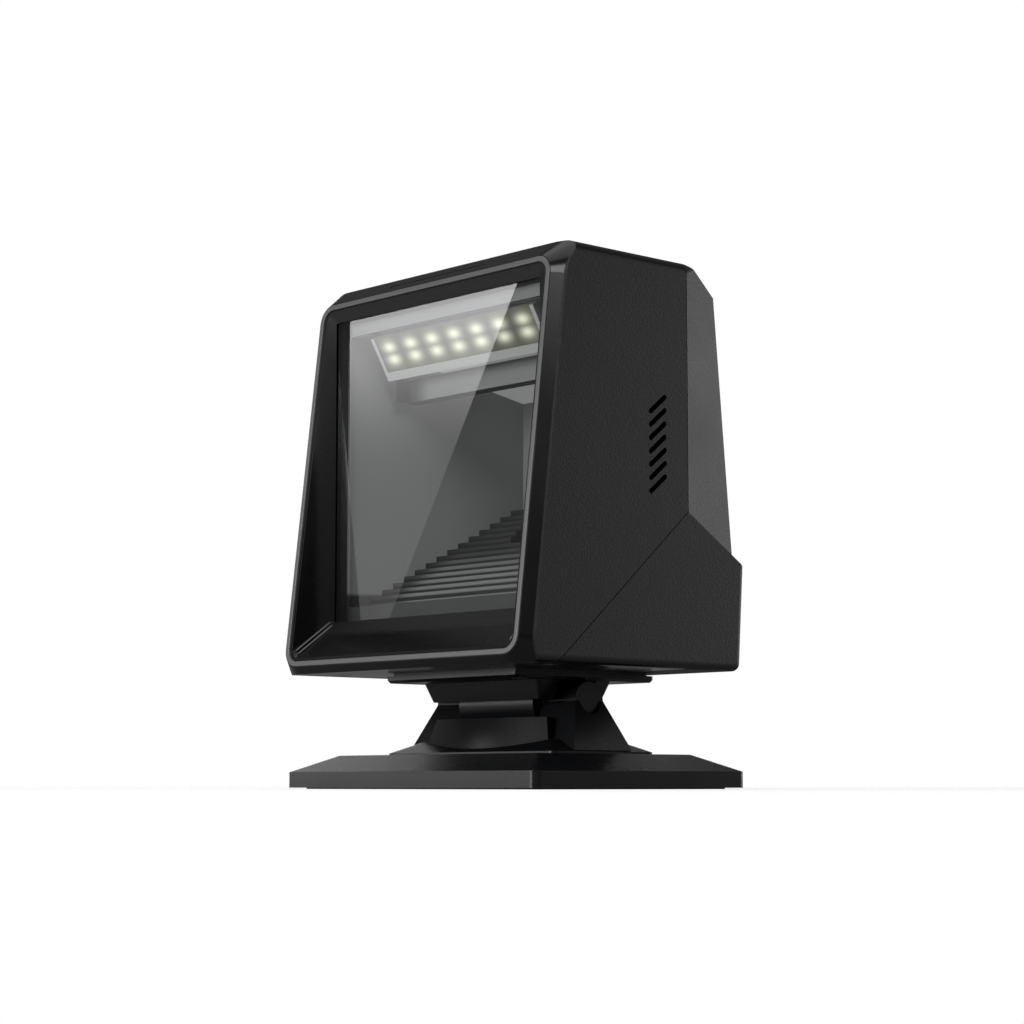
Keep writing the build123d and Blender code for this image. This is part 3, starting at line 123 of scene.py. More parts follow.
class Paint:
    """One material while its nodes are laid out."""

    def __init__(self, name: str) -> None:
        """Starts an empty material with its output node."""
        self.material = bpy.data.materials.new(name)
        self.material.use_nodes = True
        self.tree = self.material.node_tree
        self.tree.nodes.clear()
        self.output = self.node("ShaderNodeOutputMaterial")

    def node(self, kind: str, settings: dict | None = None, inputs: dict | None = None) -> bpy.types.Node:
        """Adds one node.

        Args:
            kind: the node's Blender type.
            settings: its own properties, set before its sockets. "stops" are a ramp's (place, colour) pairs.
            inputs: plain values or links for its sockets, by name or by number.

        Returns:
            The new node.
        """
        made = self.tree.nodes.new(kind)
        for key, value in (settings or {}).items():
            if key == "stops":
                ramp = made.color_ramp
                while len(ramp.elements) < len(value):
                    ramp.elements.new(1.0)
                for element, (place, colour) in zip(ramp.elements, value):
                    element.position = place
                    element.color = (*colour, 1.0)
            else:
                setattr(made, key, value)
        for key, value in (inputs or {}).items():
            socket = made.inputs[key]
            if isinstance(value, Value):
                self.tree.links.new(value.socket, socket)
            elif isinstance(value, bpy.types.NodeSocket):
                self.tree.links.new(value, socket)
            else:
                socket.default_value = value
        return made

    def maths(self, operation: str, *values: Number) -> Value:
        """One Math node on numbers or values."""
        made = self.node("ShaderNodeMath", {"operation": operation}, dict(enumerate(values)))
        return Value(self, made.outputs[0])

    def place(self) -> bpy.types.NodeSocket:
        """The point on the piece, in metres."""
        return self.node("ShaderNodeTexCoord").outputs["Object"]

    def parts(self, vector: bpy.types.NodeSocket) -> tuple[Value, Value, Value]:
        """The three numbers of a vector."""
        split = self.node("ShaderNodeSeparateXYZ", inputs={0: vector})
        return tuple(Value(self, split.outputs[i]) for i in range(3))

    def along(self) -> tuple[Value, Value, Value]:
        """The point's three coordinates, in metres."""
        return self.parts(self.place())

    def facing(self) -> tuple[Value, Value, Value]:
        """The way the surface faces, as the three parts of its true normal."""
        return self.parts(self.node("ShaderNodeNewGeometry").outputs["Normal"])

    def cloud(self, size: float, detail: float = 2.0, stretch: Sequence[float] = (1, 1, 1)) -> Value:
        """Soft noise.

        Args:
            size: how large its patches are, in metres.
            detail: how many finer layers lie over them.
            stretch: how many times longer the patches are along each axis.

        Returns:
            The noise, from 0 to 1.
        """
        scale = [1 / s for s in stretch]
        moved = self.node("ShaderNodeMapping", inputs={"Vector": self.place(), "Scale": scale})
        made = self.node(
            "ShaderNodeTexNoise",
            inputs={"Vector": moved.outputs[0], "Scale": 1 / size, "Detail": detail, "Roughness": 0.55},
        )
        return Value(self, made.outputs["Fac"])

    def pits(self, size: float, feature: str = "SMOOTH_F1") -> Value:
        """Scattered cells.

        Args:
            size: how far apart their middles are, in metres.
            feature: Blender's name for what is measured.

        Returns:
            The distance to the nearest middle, from 0 to about 1.
        """
        made = self.node(
            "ShaderNodeTexVoronoi", {"feature": feature}, {"Vector": self.place(), "Scale": 1 / size}
        )
        return Value(self, made.outputs["Distance"])

    def step(self, value: Number, low: float, high: float) -> Value:
        """A smooth step.

        Args:
            value: what is compared with the two ends.
            low: where the step is 0.
            high: where the step is 1. It falls with the value if this is the smaller end.

        Returns:
            The step, from 0 to 1.
        """
        made = self.node(
            "ShaderNodeMapRange",
            {"interpolation_type": "SMOOTHSTEP"},
            {"Value": value, "From Min": min(low, high), "From Max": max(low, high)},
        )
        rising = Value(self, made.outputs["Result"])
        return rising if low < high else 1 - rising

    def off_whole(self, value: Value) -> Value:
        """How far a number is from the nearest whole number."""
        return abs(value - self.maths("ROUND", value))

    def between(self, value: Value, low: float, high: float, soft: float) -> Value:
        """1 between two ends and 0 beyond them, with a soft band just inside each."""
        return self.step(value, low, low + soft) * self.step(value, high, high - soft)

    def blend(self, share: Number, first: object, second: object) -> bpy.types.NodeSocket:
        """A colour between two others.

        Args:
            share: 0 gives the first colour and 1 the second.
            first: a colour, as three numbers or a socket.
            second: a colour, as three numbers or a socket.

        Returns:
            The mixed colour's socket.
        """
        ends = [(*c, 1.0) if isinstance(c, tuple) else c for c in (first, second)]
        made = self.node("ShaderNodeMix", {"data_type": "RGBA"}, {0: share, 6: ends[0], 7: ends[1]})
        return made.outputs[2]

    def edge(self, radius: float) -> Value:
        """How near an edge the surface is.

        Args:
            radius: how far the edge's effect reaches, in metres.

        Returns:
            0 on flat ground, and up to 1 on a sharp edge.
        """
        rounded = self.node("ShaderNodeBevel", {"samples": 4}, {"Radius": radius}).outputs[0]
        true = self.node("ShaderNodeNewGeometry").outputs["Normal"]
        both = self.node("ShaderNodeVectorMath", {"operation": "DOT_PRODUCT"}, {0: rounded, 1: true})
        return 1 - Value(self, both.outputs["Value"])

    def relief(self, height: Number, depth: float) -> bpy.types.NodeSocket:
        """A bumped normal for a height from 0 to 1 that stands for a depth in metres."""
        return self.node("ShaderNodeBump", inputs={"Height": height, "Distance": depth}).outputs["Normal"]

    def surface(self, **sockets: object) -> bpy.types.NodeSocket:
        """A Principled shader.

        Args:
            sockets: what goes into each socket, named in small letters with underscores for spaces.

        Returns:
            The shader's socket.
        """
        inputs = {}
        for key, value in sockets.items():
            name = key.replace("_", " ").title().replace("Ior", "IOR")
            inputs[name] = (*value, 1.0) if isinstance(value, tuple) else value
        return self.node("ShaderNodeBsdfPrincipled", inputs=inputs).outputs["BSDF"]

    def done(self, shader: bpy.types.NodeSocket) -> bpy.types.Material:
        """Links the finished shader to the output and gives the material."""
        self.tree.links.new(shader, self.output.inputs["Surface"])
        return self.material


class Recipe(Protocol):
    """A finish from which a material can be made."""

    def material(self, name: str) -> bpy.types.Material:
        """Makes the material under a name."""


@dataclass(frozen=True)
class SparkPlastic:
    """Injection-moulded plastic from a spark-eroded tool: a fine even grain, paler where corners are rubbed.

    Its fields are the colour and the roughness, the grain's size and depth, how worn the corners are, how much
    the gloss varies, the mirror's level, how dark the pits are, and how far in and from what sharpness on an
    edge is rubbed.
    """

    colour: Colour
    roughness: float = 0.5
    grain: float = 0.00055
    depth: float = 0.00004
    worn: float = 0.5
    sheen_patches: float = 0.05
    mirror: float = 0.5
    shadow: float = 0.72
    edge_reach: float = 0.0007
    edge_start: float = 0.02

    def grained_skin(self, paint: Paint) -> tuple[Value, Value, bpy.types.NodeSocket]:
        """The grain that both kinds of moulding share.

        Args:
            paint: the material being painted.

        Returns:
            The pits, the fine noise over them, and the grain's colour, which is darker in the pits.
        """
        pits = paint.pits(self.grain)
        fine = paint.cloud(self.grain * 0.45, 1.0)
        dark = tuple(c * self.shadow for c in self.colour)
        pale = tuple(c * 1.3 for c in self.colour)
        return pits, fine, paint.blend(paint.step(pits + fine * 0.5, 0.25, 1.05), dark, pale)

    def rubbed_edges(self, paint: Paint) -> Value:
        """Where corners are rubbed, from 0 to how worn the piece is."""
        return paint.step(paint.edge(self.edge_reach), self.edge_start, 0.3) * self.worn

    def rubbed_colour(self) -> Colour:
        """The paler colour of a rubbed corner."""
        return tuple(min(1.0, c * 2.6 + 0.012) for c in self.colour)

    def material(self, name: str) -> bpy.types.Material:
        """Grain is scattered pits with soft noise over them; slow patches vary the gloss.

        Args:
            name: the material's name.

        Returns:
            The finished material.
        """
        paint = Paint(name)
        pits, fine, body = self.grained_skin(paint)
        slow = paint.cloud(0.03, 2.0)
        rubbed = self.rubbed_edges(paint)
        return paint.done(
            paint.surface(
                base_color=paint.blend(rubbed, body, self.rubbed_colour()),
                roughness=self.roughness + (slow - 0.5) * self.sheen_patches * 2 - rubbed * 0.12,
                specular_ior_level=self.mirror,
                normal=paint.relief(pits + fine * 0.35, self.depth),
            )
        )


@dataclass(frozen=True)
class HousingPlastic(SparkPlastic):
    """The head's housing: grained flat sides and rear, with a polished front bevel and polished roundings.

    It adds where the flat sides and the rear begin and how soft that border is, the roughness and the colour
    of the polished part, and how much of the grain is left there.
    """

    shadow: float = 0.74
    edge_reach: float = 0.0006
    edge_start: float = 0.03
    flat_side: float = 0.0594
    parting: float = 0.0197
    border: float = 0.0003
    polish: float = 0.2
    polished: Colour = (0.002, 0.002, 0.0023)
    polished_grain: float = 0.08

    def material(self, name: str) -> bpy.types.Material:
        """The grain covers where x is at the flat side or y is behind the parting line; the rest is polished.

        Args:
            name: the material's name.

        Returns:
            The finished material.
        """
        paint = Paint(name)
        x, y, _ = paint.along()
        side = paint.step(abs(x), self.flat_side, self.flat_side + self.border)
        rear = paint.step(y, self.parting, self.parting + self.border)
        grained = paint.maths("MAXIMUM", side, rear)
        pits, fine, body = self.grained_skin(paint)
        slow = paint.cloud(0.03, 2.0)
        rubbed = self.rubbed_edges(paint)
        skin = paint.blend(grained, self.polished, body)
        height = (pits + fine * 0.35) * (grained * (1 - self.polished_grain) + self.polished_grain)
        return paint.done(
            paint.surface(
                base_color=paint.blend(rubbed, skin, self.rubbed_colour()),
                roughness=self.polish
                + grained * (self.roughness - self.polish)
                + (slow - 0.5) * self.sheen_patches * 2,
                specular_ior_level=self.mirror,
                normal=paint.relief(height, self.depth),
            )
        )


@dataclass(frozen=True)
class TunnelPlastic:
    """The optics' smooth walls, with painted light on the ceiling, darker walls below the sill, and painted
    shade under the shade bar and on its ends.

    The sill is the height below which the walls are darker. The bar's fields are the box that it fills, where
    painted shade darkens its ends, and half its length. The roof is the height above which a face that looks
    down is ceiling or the bar's underside. The next three fields are the spans of the true normal's parts that
    tell those
    two: how far up the ceiling looks, how far back it looks, and how far up the underside looks. The last
    fields are where the painted lamp light grows on the ceiling, the painted glow before and after that, and
    the colours of the painted light on the ceiling and of the painted shade and the darker sill.
    """

    colour: Colour
    roughness: float = 0.45
    sill: float = 0.0640
    bar_y: Span = (-0.0195, -0.0045)
    bar_z: Span = (0.1275, 0.1372)
    bar_fade: Span = (0.027, 0.036)
    bar_half: float = 0.0407
    roof: Span = (0.10, 0.11)
    ceiling_up: Span = (-0.25, -0.6)
    ceiling_back: Span = (-0.12, -0.2)
    underside_up: Span = (-0.9, -0.97)
    lit_y: Span = (-0.016, 0.004)
    unlit: Colour = (0.0, 0.0, 0.0)
    # Painted lamp light on the ceiling: its glow, and its pale base colour below.
    painted_ceiling_glow: Colour = (0.20, 0.20, 0.20)
    pale: Colour = (0.75, 0.75, 0.74)
    # Colour of the painted shade on the bar and of the darker band below the sill.
    dark: Colour = (0.05, 0.05, 0.05)

    def material(self, name: str) -> bpy.types.Material:
        """The colour changes with the place, and with the way a face looks: the ceiling gets painted light as
        a pale colour and a glow, the bar's underside and ends get painted shade, and the walls below the sill
        are darker.

        Args:
            name: the material's name.

        Returns:
            The finished material.
        """
        paint = Paint(name)
        x, y, z = paint.along()
        _, back, up = paint.facing()
        high = paint.step(z, *self.roof)
        # Mask of the ceiling, which takes painted light: a pale colour and a glow.
        ceiling = paint.step(up, *self.ceiling_up) * paint.step(back, *self.ceiling_back) * high
        # Mask of the bar's underside, painted dark as painted shade.
        underside = paint.step(up, *self.underside_up) * high
        in_bar = paint.between(y, *self.bar_y, 0.001) * paint.between(z, *self.bar_z, 0.0003)
        in_bar = in_bar * paint.step(abs(x), self.bar_half, self.bar_half - 0.0002)
        # The bar's ends, darkened as painted shade.
        bar_end = in_bar * paint.step(abs(x), *self.bar_fade)
        # Walls below the sill are darker.
        low = paint.step(z, self.sill + 0.0008, self.sill - 0.0008)
        # Everything painted dark: painted shade on the bar's underside and ends, and the darker band below the
        # sill.
        dull = paint.maths("MAXIMUM", low, paint.maths("MAXIMUM", underside, bar_end))
        slow = paint.cloud(0.02, 2.0)
        fine = paint.cloud(0.0006, 1.0)
        walls = paint.blend(slow * 0.8 + fine * 0.2, self.colour, tuple(c * 1.08 for c in self.colour))
        return paint.done(
            paint.surface(
                base_color=paint.blend(dull, paint.blend(ceiling, walls, self.pale), self.dark),
                # Painted lamp light: the ceiling glows though it is no lamp.
                emission_color=paint.blend(ceiling * paint.step(y, *self.lit_y), self.unlit, self.painted_ceiling_glow),
                emission_strength=1.0,
                roughness=self.roughness + (slow - 0.5) * 0.08 + (fine - 0.5) * 0.04,
                specular_ior_level=0.35,
                normal=paint.relief(fine, 0.000002),
            )
        )


@dataclass(frozen=True)
class StairPlastic:
    """The light-trap stair: risers painted pale as lit over grooves in painted shade, with painted shade
    darker at their ends and toward the lens.

    Its fields are the first riser's place and the distance to the next, the first tread's height and its rise,
    where a face counts as a riser and which part of a riser is painted pale as lit, both as shares of a step,
    where painted shade darkens the ends and the rear steps, how much of the pale colour is left there, and the
    two colours: the lit riser's and the painted shade's.
    """

    riser_y: float = -0.0210
    run: float = 0.00366
    tread_z: float = 0.06341
    rise: float = 0.00239
    on_riser: Span = (0.05, 0.02)
    upper_part: Span = (0.42, 0.66)
    end_fade: Span = (0.038, 0.024)
    rear_fade: Span = (0.004, -0.012)
    end_left: float = 0.12
    rear_left: float = 0.1
    # Colour of the risers' faces, painted pale as lit.
    riser: Colour = (0.24, 0.24, 0.24)
    # Colour of the painted shade: grooves, treads, lower riser halves, ends and rear steps.
    painted_shade: Colour = (0.002, 0.002, 0.002)

    def material(self, name: str) -> bpy.types.Material:
        """Riser faces repeat along y, and only the upper half of each, below its tread, is painted pale as
        lit; the rest is painted shade.

        Args:
            name: the material's name.

        Returns:
            The finished material.
        """
        paint = Paint(name)
        x, y, z = paint.along()
        off = paint.off_whole((y - self.riser_y) / self.run)
        # Painted shade darkens the steps toward their ends.
        middle = paint.step(abs(x), *self.end_fade) * (1 - self.end_left) + self.end_left
        # Painted shade darkens the steps toward the rear, by the lens.
        front = paint.step(y, *self.rear_fade) * (1 - self.rear_left) + self.rear_left
        grain = paint.cloud(0.0007, 2.0)
        level = (z - self.tread_z) / self.rise
        upper = paint.step(level - paint.maths("FLOOR", level), *self.upper_part)
        # The share painted pale as lit; the rest takes the painted shade colour.
        pale = upper * paint.step(off, *self.on_riser) * middle * front
        return paint.done(
            paint.surface(
                base_color=paint.blend(pale, self.painted_shade, self.riser),
                roughness=0.4 + grain * 0.12,
                specular_ior_level=0.3,
                normal=paint.relief(grain, 0.000004),
            )
        )


@dataclass(frozen=True)
class GlossPlastic:
    """Polished moulded plastic: a deep even black with faint haze, and a matt band next to the pane.

    Its fields are the colour, the roughness of the polished part, how much paler its specks of dust are, where
    along y the matt band starts, and how much rougher that band is.
    """

    colour: Colour
    roughness: float = 0.16
    dust: float = 0.02
    matt_from: float = -0.0395
    matt_more: float = 0.4

    def material(self, name: str) -> bpy.types.Material:
        """Long thin noise stands for wiping marks, and sparse pits for specks of dust.

        Args:
            name: the material's name.

        Returns:
            The finished material.
        """
        paint = Paint(name)
        y = paint.along()[1]
        matt = paint.step(y, self.matt_from - 0.002, self.matt_from + 0.002) * self.matt_more
        haze = paint.cloud(0.012, 3.0)
        wiped = paint.cloud(0.0012, 2.0, (1.0, 9.0, 1.5))
        specks = paint.step(paint.pits(0.0021, "F1"), 0.08, 0.03)
        pale = tuple(c + self.dust for c in self.colour)
        ripple = paint.cloud(0.004, 1.0)
        return paint.done(
            paint.surface(
                base_color=paint.blend(specks * paint.step(haze, 0.45, 0.62), self.colour, pale),
                roughness=self.roughness + paint.step(wiped, 0.55, 0.75) * 0.08 + haze * 0.05 + matt,
                specular_ior_level=0.35,
                normal=paint.relief(ripple * 0.7 + wiped * 0.3, 0.000003),
            )
        )


@dataclass(frozen=True)
class SatinPaint:
    """A satin metallic lacquer on plastic: fine flakes, a soft gloss and paler edges."""

    colour: Colour
    metallic: float = 0.35
    roughness: float = 0.34

    def material(self, name: str) -> bpy.types.Material:
        """Flakes are small cells that tip the normal. They and the rubbed edges lighten the colour a little.

        Args:
            name: the material's name.

        Returns:
            The finished material.
        """
        paint = Paint(name)
        flake = paint.pits(0.00022, "F1")
        slow = paint.cloud(0.02, 2.0)
        pale = tuple(c * 1.25 for c in self.colour)
        rubbed = paint.step(paint.edge(0.0004), 0.03, 0.4)
        return paint.done(
            paint.surface(
                base_color=paint.blend(paint.step(flake, 0.2, 0.7) * 0.6 + rubbed * 0.4, self.colour, pale),
                metallic=self.metallic,
                roughness=self.roughness + slow * 0.08,
                normal=paint.relief(flake, 0.000008),
            )
        )


@dataclass(frozen=True)
class Metal:
    """Machined or plated metal with fine tool marks along one way.

    Its fields are the colour and the roughness, how many times longer a mark is along each axis, a mark's
    width, and how much darker the tarnished patches are.
    """

    colour: Colour
    roughness: float = 0.3
    marks: Sequence[float] = (1, 1, 1)
    mark_size: float = 0.0003
    tarnish: float = 0.25

    def material(self, name: str) -> bpy.types.Material:
        """Stretched noise makes the marks; slow patches dull and darken the metal.

        Args:
            name: the material's name.

        Returns:
            The finished material.
        """
        paint = Paint(name)
        marks = paint.cloud(self.mark_size, 3.0, self.marks)
        slow = paint.cloud(0.006, 2.0)
        dull = tuple(c * (1 - self.tarnish) for c in self.colour)
        return paint.done(
            paint.surface(
                base_color=paint.blend(paint.step(slow, 0.35, 0.7), self.colour, dull),
                metallic=1.0,
                roughness=self.roughness + marks * 0.16 + slow * 0.08,
                normal=paint.relief(marks, 0.00001),
            )
        )


@dataclass(frozen=True)
class Rubber:
    """Matt moulded rubber or nylon with a pebbled skin and dusty high spots."""

    colour: Colour
    roughness: float = 0.8
    pebble: float = 0.0009

    def material(self, name: str) -> bpy.types.Material:
        """Pebbles are scattered cells; noise collects dust on them.

        Args:
            name: the material's name.

        Returns:
            The finished material.
        """
        paint = Paint(name)
        pebble = paint.pits(self.pebble)
        dust = paint.cloud(0.008, 3.0)
        pale = tuple(c * 1.6 + 0.01 for c in self.colour)
        return paint.done(
            paint.surface(
                base_color=paint.blend(paint.step(dust, 0.45, 0.75) * 0.6, self.colour, pale),
                roughness=self.roughness + (dust - 0.5) * 0.1,
                normal=paint.relief(pebble, 0.00006),
            )
        )


@dataclass(frozen=True)
class Board:
    """A circuit board: solder mask over tracks, with bare pads, on glass-fibre weave.

    Its fields are the three colours and the distance from one track to the next.
    """

    mask: Colour
    track: Colour
    pad: Colour
    pitch: float = 0.0021

    def material(self, name: str) -> bpy.types.Material:
        """Tracks follow a grid's lines, one way or the other by a slow noise, and pads sit at some crossings.

        Args:
            name: the material's name.

        Returns:
            The finished material.
        """
        paint = Paint(name)
        x, y, z = paint.along()
        lane = paint.off_whole((x + z * 0.5) / self.pitch)
        row = paint.off_whole((y + z) / self.pitch)
        choose = paint.cloud(self.pitch * 6, 0.0)
        lengthwise = paint.step(lane, 0.16, 0.1) * paint.step(choose, 0.5, 0.53)
        crosswise = paint.step(row, 0.16, 0.1) * paint.step(choose, 0.5, 0.47)
        tracks = paint.maths("MAXIMUM", lengthwise, crosswise)
        populated = paint.step(paint.cloud(self.pitch * 2.2, 0.0), 0.6, 0.64)
        pads = paint.step(paint.maths("MAXIMUM", lane, row), 0.2, 0.16) * populated
        weave = paint.cloud(0.0004, 1.0)
        body = paint.blend(tracks, self.mask, self.track)
        return paint.done(
            paint.surface(
                base_color=paint.blend(pads, body, self.pad),
                metallic=pads * 0.9,
                roughness=0.38 + weave * 0.12 - pads * 0.1,
                normal=paint.relief(tracks * 0.6 + pads * 0.4 + weave * 0.08, 0.00003),
            )
        )


@dataclass(frozen=True)
class ClearPane:
    """A flat cleaned pane: it shows what is behind it and mirrors the room by the angle it is seen at.

    Its index is above that of glass, so that the one mirroring face stands for both.
    """

    index: float = 1.8
    tint: Colour = (0.965, 0.975, 0.97)

    def material(self, name: str) -> bpy.types.Material:
        """Rays that enter see a mirror and those that leave see none. Faint smears roughen the mirror.

        Args:
            name: the material's name.

        Returns:
            The finished material.
        """
        paint = Paint(name)
        share = Value(paint, paint.node("ShaderNodeFresnel", inputs={"IOR": self.index}).outputs[0])
        inner = Value(paint, paint.node("ShaderNodeNewGeometry").outputs["Backfacing"])
        smears = paint.cloud(0.02, 3.0, (1.0, 1.0, 3.0))
        through = paint.node("ShaderNodeBsdfTransparent", inputs={"Color": (*self.tint, 1.0)})
        mirror = paint.surface(
            base_color=(1.0, 1.0, 1.0),
            metallic=1.0,
            roughness=paint.step(smears, 0.6, 0.9) * 0.03,
        )
        mixed = paint.node(
            "ShaderNodeMixShader", inputs={0: share * (1 - inner), 1: through.outputs[0], 2: mirror}
        )
        return paint.done(mixed.outputs[0])


@dataclass(frozen=True)
class FrostedLamp:
    """The lamp's frosted cover, lit from behind by two rows of small lamps that show as soft spots.

    Its fields are the distance between lamps and between rows, the cover's lean and middle, its own colour,
    its glow between the lamps and on them, the sizes of a spot and of the halo round it, by how much
    distances along the row shrink for a spot, which widens it, and the strengths of both.
    """

    pitch: float
    rows: float
    tilt: float
    middle: Vector
    frost: Colour = (0.07, 0.07, 0.062)
    dim: Colour = (0.035, 0.034, 0.026)
    bright: Colour = (0.84, 0.86, 0.66)
    spot: float = 0.00125
    halo: float = 0.0042
    widen: float = 0.6
    spot_glow: float = 0.86
    halo_glow: float = 0.10

    def material(self, name: str) -> bpy.types.Material:
        """Light falls off as a bell curve of the distance to the nearest lamp in the cover's plane.

        Args:
            name: the material's name.

        Returns:
            The finished material.
        """
        paint = Paint(name)
        x, y, z = paint.along()
        across = x - self.pitch * paint.maths("ROUND", x / self.pitch)
        down = (y - self.middle.y) * math.sin(self.tilt) - (z - self.middle.z) * math.cos(self.tilt)
        off_row = abs(down) - self.rows / 2
        square = across * across + off_row * off_row
        oval = across * across * self.widen**2 + off_row * off_row
        spots = paint.maths("EXPONENT", oval * (-0.5 / self.spot**2))
        halo = paint.maths("EXPONENT", square * (-0.5 / self.halo**2))
        frosting = paint.cloud(0.0005, 2.0)
        light = paint.blend(spots * self.spot_glow + halo * self.halo_glow, self.dim, self.bright)
        return paint.done(
            paint.surface(
                base_color=paint.blend(frosting, self.frost, tuple(c * 0.85 for c in self.frost)),
                roughness=0.55 + frosting * 0.1,
                emission_color=light,
                emission_strength=1.0,
                normal=paint.relief(frosting, 0.00002),
            )
        )


@dataclass(frozen=True)
class SmokedPipe:
    """A smoked clear light pipe, nearly black while its lamp is off."""

    colour: Colour = (0.0015, 0.0015, 0.0018)

    def material(self, name: str) -> bpy.types.Material:
        """Faint flow lines run along the pipe.

        Args:
            name: the material's name.

        Returns:
            The finished material.
        """
        paint = Paint(name)
        flow = paint.cloud(0.0008, 2.0, (12.0, 1.0, 1.0))
        return paint.done(
            paint.surface(
                base_color=paint.blend(flow, self.colour, tuple(c * 2.2 for c in self.colour)),
                roughness=0.12 + flow * 0.1,
                normal=paint.relief(flow, 0.00001),
            )
        )


@dataclass(frozen=True)
class LensGlass:
    """Coated camera glass: dark, with a violet to green bloom that changes across it."""

    def material(self, name: str) -> bpy.types.Material:
        """The bloom mixes two tints by a facing weight, with fine noise so that it is never flat.

        Args:
            name: the material's name.

        Returns:
            The finished material.
        """
        paint = Paint(name)
        facing = Value(paint, paint.node("ShaderNodeLayerWeight", inputs={"Blend": 0.4}).outputs["Facing"])
        noise = paint.cloud(0.001, 2.0)
        tint = paint.blend(facing + noise * 0.2, (0.03, 0.012, 0.06), (0.012, 0.05, 0.045))
        return paint.done(
            paint.surface(base_color=tint, roughness=0.03 + noise * 0.03, coat_weight=noise * 0.2 + 0.8)
        )


@dataclass(frozen=True)
class LampChip:
    """A small white lamp: a phosphor square that glows in a pale package."""

    def material(self, name: str) -> bpy.types.Material:
        """Grainy phosphor over a warm glow.

        Args:
            name: the material's name.

        Returns:
            The finished material.
        """
        paint = Paint(name)
        grain = paint.cloud(0.0002, 2.0)
        return paint.done(
            paint.surface(
                base_color=paint.blend(grain, (0.75, 0.62, 0.22), (0.85, 0.78, 0.45)),
                roughness=0.5 + grain * 0.1,
                emission_color=paint.blend(grain, (0.9, 0.85, 0.6), (1.0, 0.97, 0.8)),
                emission_strength=1.5,
            )
        )


def patch(name: str, points: np.ndarray, closed: bool = False) -> bpy.types.Object:
    """A surface from a grid of points, one quad for each cell.

    Args:
        name: the piece's name.
        points: an array of shape (rows, columns, 3).
        closed: True if the last column joins the first.

    Returns:
        The mesh object at the origin, with smooth shading. Points that coincide are merged.
    """
    rows, columns = points.shape[:2]
    number = np.arange(rows * columns).reshape(rows, columns)
    if closed:
        number = np.hstack([number, number[:, :1]])
    quads = np.stack([number[:-1, :-1], number[1:, :-1], number[1:, 1:], number[:-1, 1:]], -1).reshape(-1, 4)
    flat = points.reshape(-1, 3)
    unique, place = np.unique(np.round(flat, 9), axis=0, return_inverse=True)
    quads = place.reshape(-1)[quads]
    faces = [list(dict.fromkeys(q)) for q in quads.tolist()]
    mesh = bpy.data.meshes.new(name)
    mesh.from_pydata(unique.tolist(), [], [f for f in faces if len(f) > 2])
    mesh.polygons.foreach_set("use_smooth", np.ones(len(mesh.polygons), bool))
    mesh.update()
    made = bpy.data.objects.new(name, mesh)
    bpy.context.scene.collection.objects.link(made)
    return made


class Finish(Enum):
    """The record's material slots, each with the finish that its CAD nodes and pieces take."""

    HOUSING = "housing_black"
    STAND = "stand_black"
    TRIM = "trim_grey"
    BEZEL = "bezel_black"
    PANE = "clear_glass"
    TAPE = "tape_black"
    TUNNEL = "tunnel_grey"
    BAFFLE = "baffle_black"
    FROST = "lamp_frost"
    LAMP_BOARD = "lamp_board"
    LAMP = "led_warm"
    LENS = "lens_glass"
    SENSOR = "sensor_dark"
    BOARD = "board_green"
    FLEX = "flex_amber"
    SHIELD = "shield_metal"
    SOCKET = "socket_black"
    CONTACT = "contact_gold"
    STEEL = "steel"
    NYLON = "bush_nylon"
    PAD = "pad_rubber"
    SMOKE = "status_smoke"


